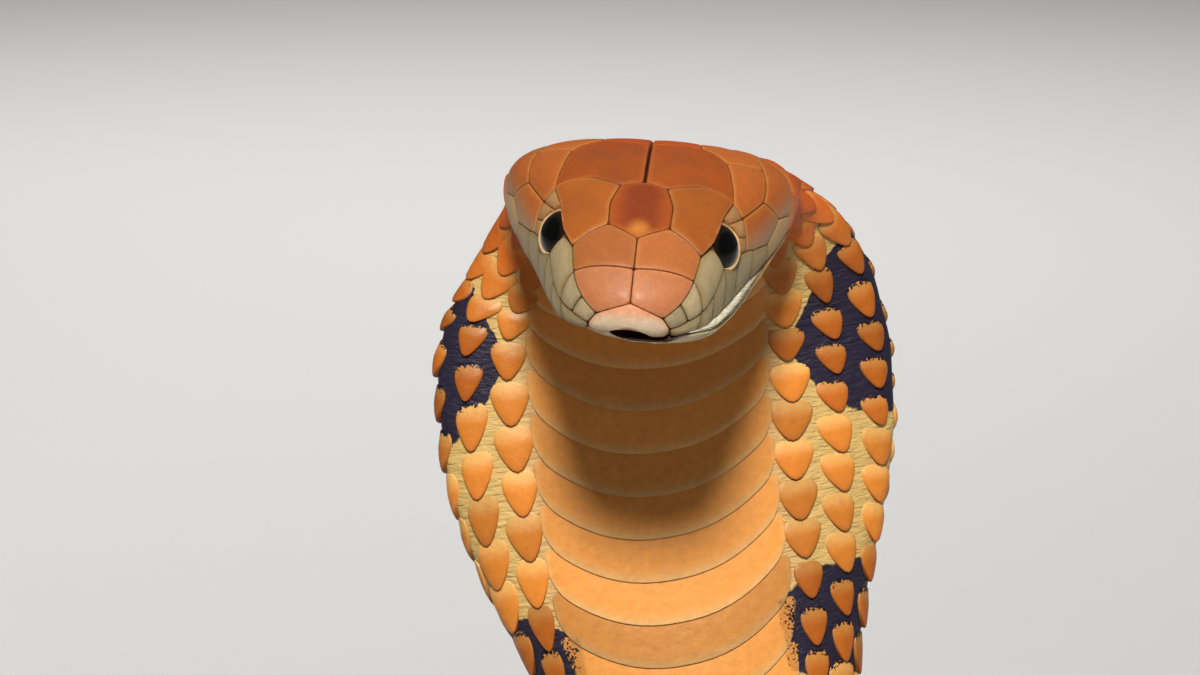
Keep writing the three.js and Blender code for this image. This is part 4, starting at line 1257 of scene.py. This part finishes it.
def make_eye_material():
    material, tree, shader = new_material("eye", 0.12, 0.25)
    shader.inputs["Coat Roughness"].default_value = 0.02
    place = object_coordinates(tree)
    away = attribute_node(tree, "away")
    streak = noise_node(tree, place, STREAK_GRAIN, 3.0)
    iris = mix_node(tree, streak, IRIS_DARK, IRIS_LIGHT)
    base = mix_node(tree, range_node(tree, away, *PUPIL_END), PUPIL_COLOUR, iris)
    base = mix_node(tree, range_node(tree, away, *IRIS_END), base, EYE_EDGE)
    link_value(tree, shader.inputs["Base Color"], base)
    return material


EYE_MATERIAL = make_eye_material()
EYE_ROWS = 48
EYE_COLUMNS = 72
RING_SIDES = 96
RING_BEADS = 26
RING_RADIUS = 5.0
# The rim's section, as outward and upward steps from its circle, and the share of the brown slope.
RING_SECTION = (
    (-0.5, -0.9, 0),
    (-0.4, 0.08, 0),
    (-0.2, 0.34, 0),
    (0.1, 0.42, 0),
    (0.4, 0.28, 0.1),
    (0.62, 0.05, 0.6),
    (0.9, -0.15, 1),
    (1.3, -0.62, 1),
    (1.8, -1.35, 1),
    (2.2, -2.4, 1),
    (0.8, -2.8, 1),
)


def make_eye(name, sign):
    rows, columns = EYE_ROWS, EYE_COLUMNS
    centre, out, along, aside = eye_frame(sign)
    turn, tip = np.meshgrid(np.arange(columns) * 2 * np.pi / columns, np.linspace(0.01, 0.99, rows) * np.pi)
    ring = along * np.cos(turn)[..., None] + aside * np.sin(turn)[..., None]
    ray = out * np.cos(tip)[..., None] + ring * np.sin(tip)[..., None]
    points = (centre + ray * EYE_RADIUS).reshape(-1, 3)
    last = np.arange(columns)
    faces = [grid_faces(rows, columns)[:, ::-1], last[None], last[None, ::-1] + (rows - 1) * columns]
    uv = np.stack([turn / 7, tip / 3.2], -1).reshape(-1, 2)
    away = np.sin(np.minimum(tip, np.pi / 2)).ravel()
    eye = add_mesh(name + "_ball", points, faces, uv, {"away": away}, EYE_MATERIAL)
    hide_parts(name)
    return eye


def make_eye_ring(name, sign):
    """The raised rim of small scales round an eye."""
    sides, across = RING_SIDES, len(RING_SECTION)
    centre, out, along, aside = eye_frame(sign)
    outward, upward, brown = np.array(RING_SECTION).T
    turn = (np.arange(sides) * 2 * np.pi / sides)[:, None]
    ray = along * np.cos(turn)[..., None] + aside * np.sin(turn)[..., None]
    under_brow = smooth((np.sum(ray * frame_at(EYE_AT[0])[2], -1) - 0.1) / 0.6)
    wide = RING_RADIUS + outward * (1 + 0.07 * np.sin(turn * RING_BEADS))
    foot = math.sqrt(EYE_RADIUS**2 - RING_RADIUS**2) + EYE_CLEARANCE
    height = foot + upward - 0.8 * under_brow
    points = (centre + ray * wide[..., None] + out * height[..., None]).reshape(-1, 3)
    faces = grid_faces(sides + 1, across) % len(points)
    tint = lerp(EYE_RING, EYE_SLOPE, np.tile(brown, sides)[:, None])
    attributes = marks(tint, tint, UNBANDED, 0.0, UNPEPPERED)
    uv = np.stack(np.broadcast_arrays(turn / 7, np.arange(across) / across), -1).reshape(-1, 2)
    ring = add_mesh(name + "_rim", points, [faces[:, ::-1]], uv, attributes, SHIELD_MATERIAL)
    return ring


for eye_name, eye_sign in (("eye_left", 1), ("eye_right", -1)):
    make_eye(eye_name, eye_sign)
    make_eye_ring(eye_name, eye_sign)


# The scales and scutes.
BODY_ROWS = 8
# Rows that run out: the row, and the lengths s where it starts to narrow and is gone.
ROW_ENDS = ((3, 500, 530), (5, 2500, 2530), (2, 2640, 2670), (4, 2760, 2790), (6, 2900, 2930))
TIP = 3188
# The first scales behind the head: length s by angle from the back.
NAPE_ANGLES = (0, 40, 65, 80, 96, 110, 180)
NAPE_STARTS = (78, 76, 73.5, 68.5, 61.5, 60.5, 60)
NAPE_TUCK = 4
# A scale's rings from the rim inwards: share of the outline, and lift.
SCALE_RINGS = ((1.0, -0.5), (1.0, 0.0), (0.95, 0.26), (0.85, 0.45), (0.66, 0.6), (0.4, 0.7), (0.18, 0.73))
COARSE_RINGS = tuple(SCALE_RINGS[k] for k in (0, 1, 2, 4, 6))
# Half of a scale's outline, from its rear tip to its front: shares of its length and width.
SCALE_SHAPE = (
    (0.5, 0), (0.46, 0.1), (0.3, 0.24), (0.06, 0.4), (-0.18, 0.49),
    (-0.34, 0.47), (-0.45, 0.34), (-0.48, 0.17), (-0.44, 0),
)
# How much darker and redder, narrower and shorter a scale is inside a band of the hood, and the
# lengths s where the red of the nape ends.
BAND_SCALE = np.array([0.7, 0.56, 0.44])
BAND_NARROWER = 0.16
BAND_SHORTER = 0.14
RED_ENDS = (82, 124)
# The widths of a cell between which its scale comes to stand apart from its neighbours. The next two
# are a scale's width in cells and its length in pitches, overlapping and apart.
APART = (7.5, 10.5)
WIDTH_SHARES = (1.14, 0.88)
LENGTH_SHARES = (1.36, 1.08)
FIRST_ROW_WIDTH = 1.02
SMALL_SCALE = 9
SKEW = 0.22
# How far a scale's size, turn in degrees and place vary.
SIZE_VARIES = (0.96, 1.04)
TURN_VARIES = (-4, 4)
PLACE_VARIES = (-0.3, 0.3)
# How much higher a scale's tip is than its front, on the hood, more at the nape, and on the body.
TILT = (0.85, 0.55)
NAPE_TILT = 0.35
NAPE_ENDS = (90, 118)
FLAT_LIFT = 0.45
# Pieces of scales: name, slot, where they start and end, sides of a scale, and its rings.
SCALE_PIECES = (
    ("scales_hood", "hood", 0, 300, 22, SCALE_RINGS),
    ("scales_neck", "body", 300, 720, 16, COARSE_RINGS),
    ("scales_body_1", "body", 720, 1650, 12, COARSE_RINGS),
    ("scales_body_2", "body", 1650, VENT, 12, COARSE_RINGS),
    ("scales_tail", "tail", VENT, LENGTH, 12, COARSE_RINGS),
)
# Pieces of scutes: name, slot, where they start and end, columns, and the rows' shares of the way back.
SCUTE_PIECES = (
    ("scutes_1", "hood", 66, 560, 29, (0, 0.2, 0.45, 0.7, 0.86, 0.95, 0.99, 1, 0.98)),
    ("scutes_2", "body", 560, LENGTH, 15, (0, 0.5, 0.85, 0.98, 1, 0.97)),
)


def scute_edges():
    """Lengths s of the rear edges of the scutes, from under the head to the tip of the tail."""
    edges = list(FIRST_EDGE + SCUTE_PITCH * np.arange(-1, int((VENT - FIRST_EDGE) / SCUTE_PITCH) + 1))
    while edges[-1] < TIP - TAIL_PITCH:
        edges.append(edges[-1] + TAIL_PITCH)
    return np.array(edges)


def pitch_at(edges):
    return np.where(edges > VENT + 1, TAIL_PITCH, SCUTE_PITCH)


SCUTE_EDGES = scute_edges()


def skin_places(s, reach, lift):
    """Points at a lift over the skin. Past the middle of the back, a reach ends on the other side."""
    s = np.clip(s, 1, LENGTH - 1)
    past = np.abs(reach) - half_girth(s)
    reach = np.where(past > 0, -np.sign(reach) * (half_girth(s) - past), reach)
    phi = angle_at(s, reach)
    return above_floor(on_skin(s, phi) + normal_at(s, phi) * lift[..., None], s, FLOOR_CLEARANCE), phi


def scute_places(edges, columns, along):
    """Share of the way across, s, reach and lift of each point of the scutes that end at edges."""
    edge, span = edges[:, None, None], pitch_at(edges)[:, None, None]
    shape = (len(edges), len(along), columns)
    share = np.broadcast_to(np.sin(np.linspace(-1, 1, columns) * np.pi / 2), shape)
    front = edge - span * SCUTE_LENGTH
    s = front + (edge - front) * along[:, None]
    wide = belly_half_width(np.broadcast_to(s, shape))
    wide = wide + SCUTE_WIDER * between(s, *WIDER_FROM) * (1 - between(s, *WIDER_TO))
    end = np.clip((np.abs(share) - SCUTE_END) / (1 - SCUTE_END), 0, 1)
    end = 1 - np.sqrt(1 - end**2)
    s = s - (s - (edge - span * 0.55)) * 0.9 * end
    s = s - SCUTE_LAG * (wide / WIDEST_BELLY) ** 2 * np.abs(share) ** 2.3
    rise = np.array([-0.1, *np.interp(along[1:-1], [0, 0.9, 1], [0.1, 0.75, 0.62]), 0.1])
    lift = rise[:, None] * (1 - 0.7 * smooth((np.abs(share) - 0.88) / 0.12))
    lift = lift - 0.4 * (np.abs(share) > 0.999) + 0.06 * np.sin(edge * 3 + share * 5)
    return share, s, share * wide + belly_shift(s), lift


def scute_tints(s, share, along):
    """The colour of scutes outside and inside the dark bands."""
    later = aft(s)[..., None]
    margin = np.maximum(smooth((along[:, None] - 0.8) / 0.14), 0.6 * smooth((np.abs(share) - 0.93) / 0.06))
    tint = lerp(lerp(BELLY, BODY_PALE * 0.9, later), BELLY_RIM, 0.75 * margin[..., None])
    tint = lerp(tint, THROAT, 0.5 * (1 - between(s, 70, 100))[..., None])
    return tint, lerp(tint * 0.75, BODY_DARK * 1.4, later)


def make_scutes(name, slot, first, last, columns, along):
    """Broad scutes across the belly, each free at its rear edge and lying over the next."""
    edges = SCUTE_EDGES[(SCUTE_EDGES > first) & (SCUTE_EDGES <= last)]
    along = np.array(along)
    share, s, reach, lift = scute_places(edges, columns, along)
    points, phi = skin_places(s, reach, lift)
    shift = np.arange(len(edges)) * len(along) * columns
    faces = (grid_faces(len(along), columns, False) + shift[:, None, None]).reshape(-1, 4)
    tone = rng.uniform(-1, 1, len(edges))[:, None, None]
    band = band_depth(s, reach)
    pepper = np.clip(band / 3, -1, 1) * (1 - aft(s)) - aft(s)
    attributes = marks(*scute_tints(s, share, along), band, tone, pepper)
    uv = unwrap_faces(s.ravel(), phi.ravel(), [faces])
    piece = add_mesh(name, points.reshape(-1, 3), [faces], uv, attributes, SCUTE_MATERIAL)
    return piece


def row_weights(s):
    """How wide each row of scales is at s, as a share of a full row; the last is the middle of the back."""
    weights = np.ones((len(s), BODY_ROWS + 1))
    weights[:, BODY_ROWS] = 0.5
    for row, start, end in ROW_ENDS:
        weights[:, row] = 1 - between(s, start, end)
    return weights


def row_reach(s, row, sign):
    """Signed reach of a row at s, the width of a full row there, and the row's own share of it."""
    weights = row_weights(s)
    start = belly_half_width(s) + sign * belly_shift(s)
    cell = (half_girth(s) - start) / weights.sum(1)
    before = weights[:, :row].sum(1) + 0.5 * weights[:, row]
    reach = half_girth(s) if row == BODY_ROWS else start + cell * before
    return sign * reach, cell, weights[:, row]


def scale_places():
    """Length, signed reach, slope of the row, cell, pitch and row of every scale above the belly."""
    places = []
    pitches = pitch_at(SCUTE_EDGES)
    wide = belly_half_width(SCUTE_EDGES)
    for row in range(BODY_ROWS + 1):
        s = SCUTE_EDGES - wide**2 / SCUTE_BOW - (row % 2) * pitches / 2
        for sign in (-1, 1) if row < BODY_ROWS else (-1,):
            reach, cell, weight = row_reach(s, row, sign)
            slope = (row_reach(s + 3, row, sign)[0] - row_reach(s - 3, row, sign)[0]) / 6
            kept = (weight > 0.4) & (s < TIP)
            rows = np.stack([s, reach, slope, cell, pitches, np.full(len(s), row)], -1)
            places.append(rows[kept])
    places = np.concatenate(places)
    turn = np.abs(angle_at(places[:, 0], places[:, 1]))
    first = np.interp(turn, NAPE_ANGLES, NAPE_STARTS) + NAPE_TUCK
    kept = places[:, 0] > first - SCUTE_PITCH * 0.8
    places[:, 0] = np.maximum(places[:, 0], first)
    return places[kept]


def scale_patch(sides, rings):
    """Shares along and across, lift, depth from the rim, and 1 on the wall, of a scale's points."""
    half = np.array(SCALE_SHAPE)
    outline = softened(evenly_round(np.vstack([half, half[-2:0:-1] * [1, -1]]), sides), 1)
    shares, lifts = np.array(rings).T
    a, b = (np.append(np.outer(shares, line), 0.0) for line in outline.T)
    lift = np.append(np.repeat(lifts, sides), lifts[-1])
    depth = np.append(np.repeat(1 - shares, sides), 1.0)
    return a, b, lift, depth, (np.arange(len(a)) < 2 * sides).astype(float)


def scale_tints(s, a, phi, edge):
    """The colour of scales: a is the share of the way from the front (-0.5) to the tip (0.5)."""
    near_head = (1 - between(s, *RED_ENDS))[..., None]
    behind = smooth((90 - np.abs(phi)) / 30)[..., None]
    later = aft(s)[..., None]
    parts = (
        (ORANGE, RED_ORANGE, 1, 0.25),
        (ORANGE_RIM, RED_RIM, 1.15, 0.35),
        (ORANGE_TIP, RED_TIP, 0.8, 0.3),
    )
    base, front, tip = (
        lerp(lerp(plain, red, near_head), BODY_PALE * pale, later) * (1 - shade * behind)
        for plain, red, pale, shade in parts
    )
    tint = lerp(base, front, smooth((-0.02 - a) / 0.4)[..., None])
    # Toward the tip the colour turns to the tip's, darker near the head: partly painted shade on the tip's
    # lower side.
    tint = lerp(tint, tip, 0.8 * smooth((a - 0.08) / 0.4)[..., None])
    rear = smooth((a + 0.05) / 0.4)[..., None]
    edge = edge[..., None]
    tint = lerp(tint, SKIN_YELLOW, 0.55 * edge * (1 - rear) * (1 - later) * (1 - near_head))
    # Painted shade: the scale's wall is darkened at the rear, and all round on the body, where its own lift
    # would shade it.
    return tint * (1 - 0.5 * edge * np.maximum(rear, later))


def make_scales(name, slot, first, last, sides, rings):
    """One mesh of many scales, each a small domed patch with a raised rear tip."""
    chosen = (SCALES[:, 0] >= first) & (SCALES[:, 0] < last)
    s0, reach0, slope, cell, pitch, row = SCALES[chosen].T
    count = len(s0)
    later = aft(s0)
    spread = between(cell, *APART)
    marked = smooth((band_depth(s0, reach0) + 1) / 2) * (1 - later)
    width = cell * np.where(row < 1, FIRST_ROW_WIDTH, lerp(*WIDTH_SHARES, spread))
    width = (width * rng.uniform(*SIZE_VARIES, count) * (1 - BAND_NARROWER * marked))[:, None]
    length = pitch * lerp(*LENGTH_SHARES, spread)
    length = (length * rng.uniform(*SIZE_VARIES, count) * (1 - BAND_SHORTER * marked))[:, None]
    turn = np.arctan(np.clip(slope, -0.9, 0.9)) + np.radians(rng.uniform(*TURN_VARIES, count))
    cosine, sine = np.cos(turn)[:, None], np.sin(turn)[:, None]
    skew = (np.sign(reach0) * SKEW * spread * (row > 0) * (row < BODY_ROWS))[:, None]
    small = np.minimum(1, length / SMALL_SCALE)
    jitter = rng.uniform(*PLACE_VARIES, (2, count, 1)) * small

    a, b, lift, depth, wall = scale_patch(sides, rings)
    along, across = a * length, (b + skew * (a + 0.1)) * width
    s = s0[:, None] + along * cosine - across * sine + jitter[0]
    reach = reach0[:, None] + along * sine + across * cosine + jitter[1]
    puffy = lerp(FLAT_LIFT, 1, (spread * (1 - later))[:, None])
    nape = (1 - between(s0, *NAPE_ENDS))[:, None]
    tilt = lerp(TILT[0] + NAPE_TILT * nape, TILT[1], later[:, None])
    low_sides = 1 - 0.6 * (2 * b) ** 2 * spread[:, None]
    front = lerp(0.3, 1, smooth((a + 0.5) / 0.45))
    height = np.where(lift > 0, lift * front * puffy, lift) + (a + 0.32) * tilt * low_sides
    height = np.where(lift < 0, -0.5, height) * small
    points, phi = skin_places(s, reach, height)

    tint = scale_tints(s, np.broadcast_to(a, s.shape), phi, np.broadcast_to(wall, s.shape))
    tint = tint * lerp(np.ones(3), BAND_SCALE, marked[:, None, None])
    # Inside the body's bands the wall is darker still: painted shade.
    dark = lerp(tint, BODY_DARK * (1 - 0.5 * wall[:, None]), aft(s)[..., None])
    band = lerp(band_depth(s, reach), band_depth(s0, reach0)[:, None], aft(s))
    nibbled = smooth((-0.08 - a) / 0.34) * (0.4 + 0.6 * (1 - smooth(depth / 0.4)))
    pepper = lerp(-1, 1.2, smooth(band / 1.5) * nibbled) - 2 * aft(s)
    attributes = marks(tint, dark, band, rng.uniform(-1, 1, count)[:, None], pepper)
    root = unwrap(s0, angle_at(s0, reach0))[:, None]
    uv = (root + np.stack([a, b], -1) * PATCH).reshape(-1, 2)
    faces = patch_faces(len(rings), sides, count)
    piece = add_mesh(name, points.reshape(-1, 3), faces, uv, attributes, SCALE_MATERIAL)
    return piece


for scute_piece in SCUTE_PIECES:
    make_scutes(*scute_piece)
SCALES = scale_places()
for scale_piece in SCALE_PIECES:
    make_scales(*scale_piece)


# The floor, the camera and the light. The floor and the lights are in metres.
PHOTO_WIDTH = 1200
PHOTO_HEIGHT = 675
SNOUT_PIXEL = (628, 333)
FOCAL_PIXELS = 3426
CAMERA_ELEVATION = 12
CAMERA_DISTANCE = 750
TARGET_DROP = 5
SENSOR = 36
FLOOR_HALF = 20
FLOOR_COLOUR = (0.82, 0.81, 0.79, 1)
WORLD_COLOUR = (1, 0.99, 0.97, 1)
WORLD_STRENGTH = 0.08
WARM = (1, 0.97, 0.92)
WHITE = (1, 1, 1)
HEAD_PLACE = (-0.05, -0.17, 0.5)
# Area lights: name, place, target, size, power, tint, spread in degrees, and whether gloss shows them.
LIGHTS = (
    ("key", (-0.08, -1.14, 1.35), HEAD_PLACE, 0.22, 1.54, WARM, 50, True),
    ("fill", (1.4, -0.9, 0.8), HEAD_PLACE, 1.2, 1.8, WHITE, 180, False),
    ("rear", (-0.3, 3, 3), (-0.3, 3, 0), 3, 100, WHITE, 180, False),
    ("back", (-1.3, 1.3, 1.1), (0, 0, 0.25), 1.2, 4.5, WHITE, 180, False),
    ("side", (1.5, 0.8, 1.1), (0, 0, 0.2), 1.2, 2.5, WHITE, 180, False),
)


def make_floor():
    mesh = bpy.data.meshes.new("floor")
    corners = [(x * FLOOR_HALF, y * FLOOR_HALF, 0) for x, y in ((-1, -1), (1, -1), (1, 1), (-1, 1))]
    mesh.from_pydata(corners, [], [(0, 1, 2, 3)])
    floor = add_object("floor", mesh)
    material = bpy.data.materials.new("floor")
    material.use_nodes = True
    shader = material.node_tree.nodes["Principled BSDF"]
    shader.inputs["Base Color"].default_value = FLOOR_COLOUR
    shader.inputs["Roughness"].default_value = 0.8
    mesh.materials.append(material)


def make_camera():
    tilt = math.radians(CAMERA_ELEVATION)
    forward = Vector((0, math.cos(tilt), -math.sin(tilt)))
    right = Vector((1, 0, 0))
    up = right.cross(forward)
    point, _, head_up, _ = frame_at(0.0)
    target = Vector(point - head_up * TARGET_DROP) * MILLIMETRE
    aside = (SNOUT_PIXEL[0] - PHOTO_WIDTH / 2) / FOCAL_PIXELS
    above = (PHOTO_HEIGHT / 2 - SNOUT_PIXEL[1]) / FOCAL_PIXELS
    place = target - (forward + right * aside + up * above) * CAMERA_DISTANCE * MILLIMETRE
    data = bpy.data.cameras.new("camera")
    data.lens = FOCAL_PIXELS / PHOTO_WIDTH * SENSOR
    data.sensor_width = SENSOR
    data.clip_end = 100
    camera = add_object("camera", data)
    turn = Matrix((right, up, -forward)).transposed().to_4x4()
    camera.matrix_world = Matrix.Translation(place) @ turn
    bpy.context.scene.camera = camera


def add_area_light(name, place, target, size, power, tint, spread, reflected):
    data = bpy.data.lights.new(name, "AREA")
    data.shape = "DISK"
    data.size = size
    data.energy = power
    data.color = tint
    data.spread = math.radians(spread)
    light = add_object(name, data)
    light.location = place
    light.visible_glossy = reflected
    light.rotation_euler = (Vector(target) - Vector(place)).to_track_quat("-Z", "Y").to_euler()


def make_light():
    world = bpy.data.worlds.new("studio")
    world.use_nodes = True
    background = world.node_tree.nodes["Background"]
    background.inputs[0].default_value = WORLD_COLOUR
    background.inputs[1].default_value = WORLD_STRENGTH
    bpy.context.scene.world = world
    for light in LIGHTS:
        add_area_light(*light)
    bpy.context.scene.view_settings.view_transform = "Standard"


make_floor()
make_camera()
make_light()
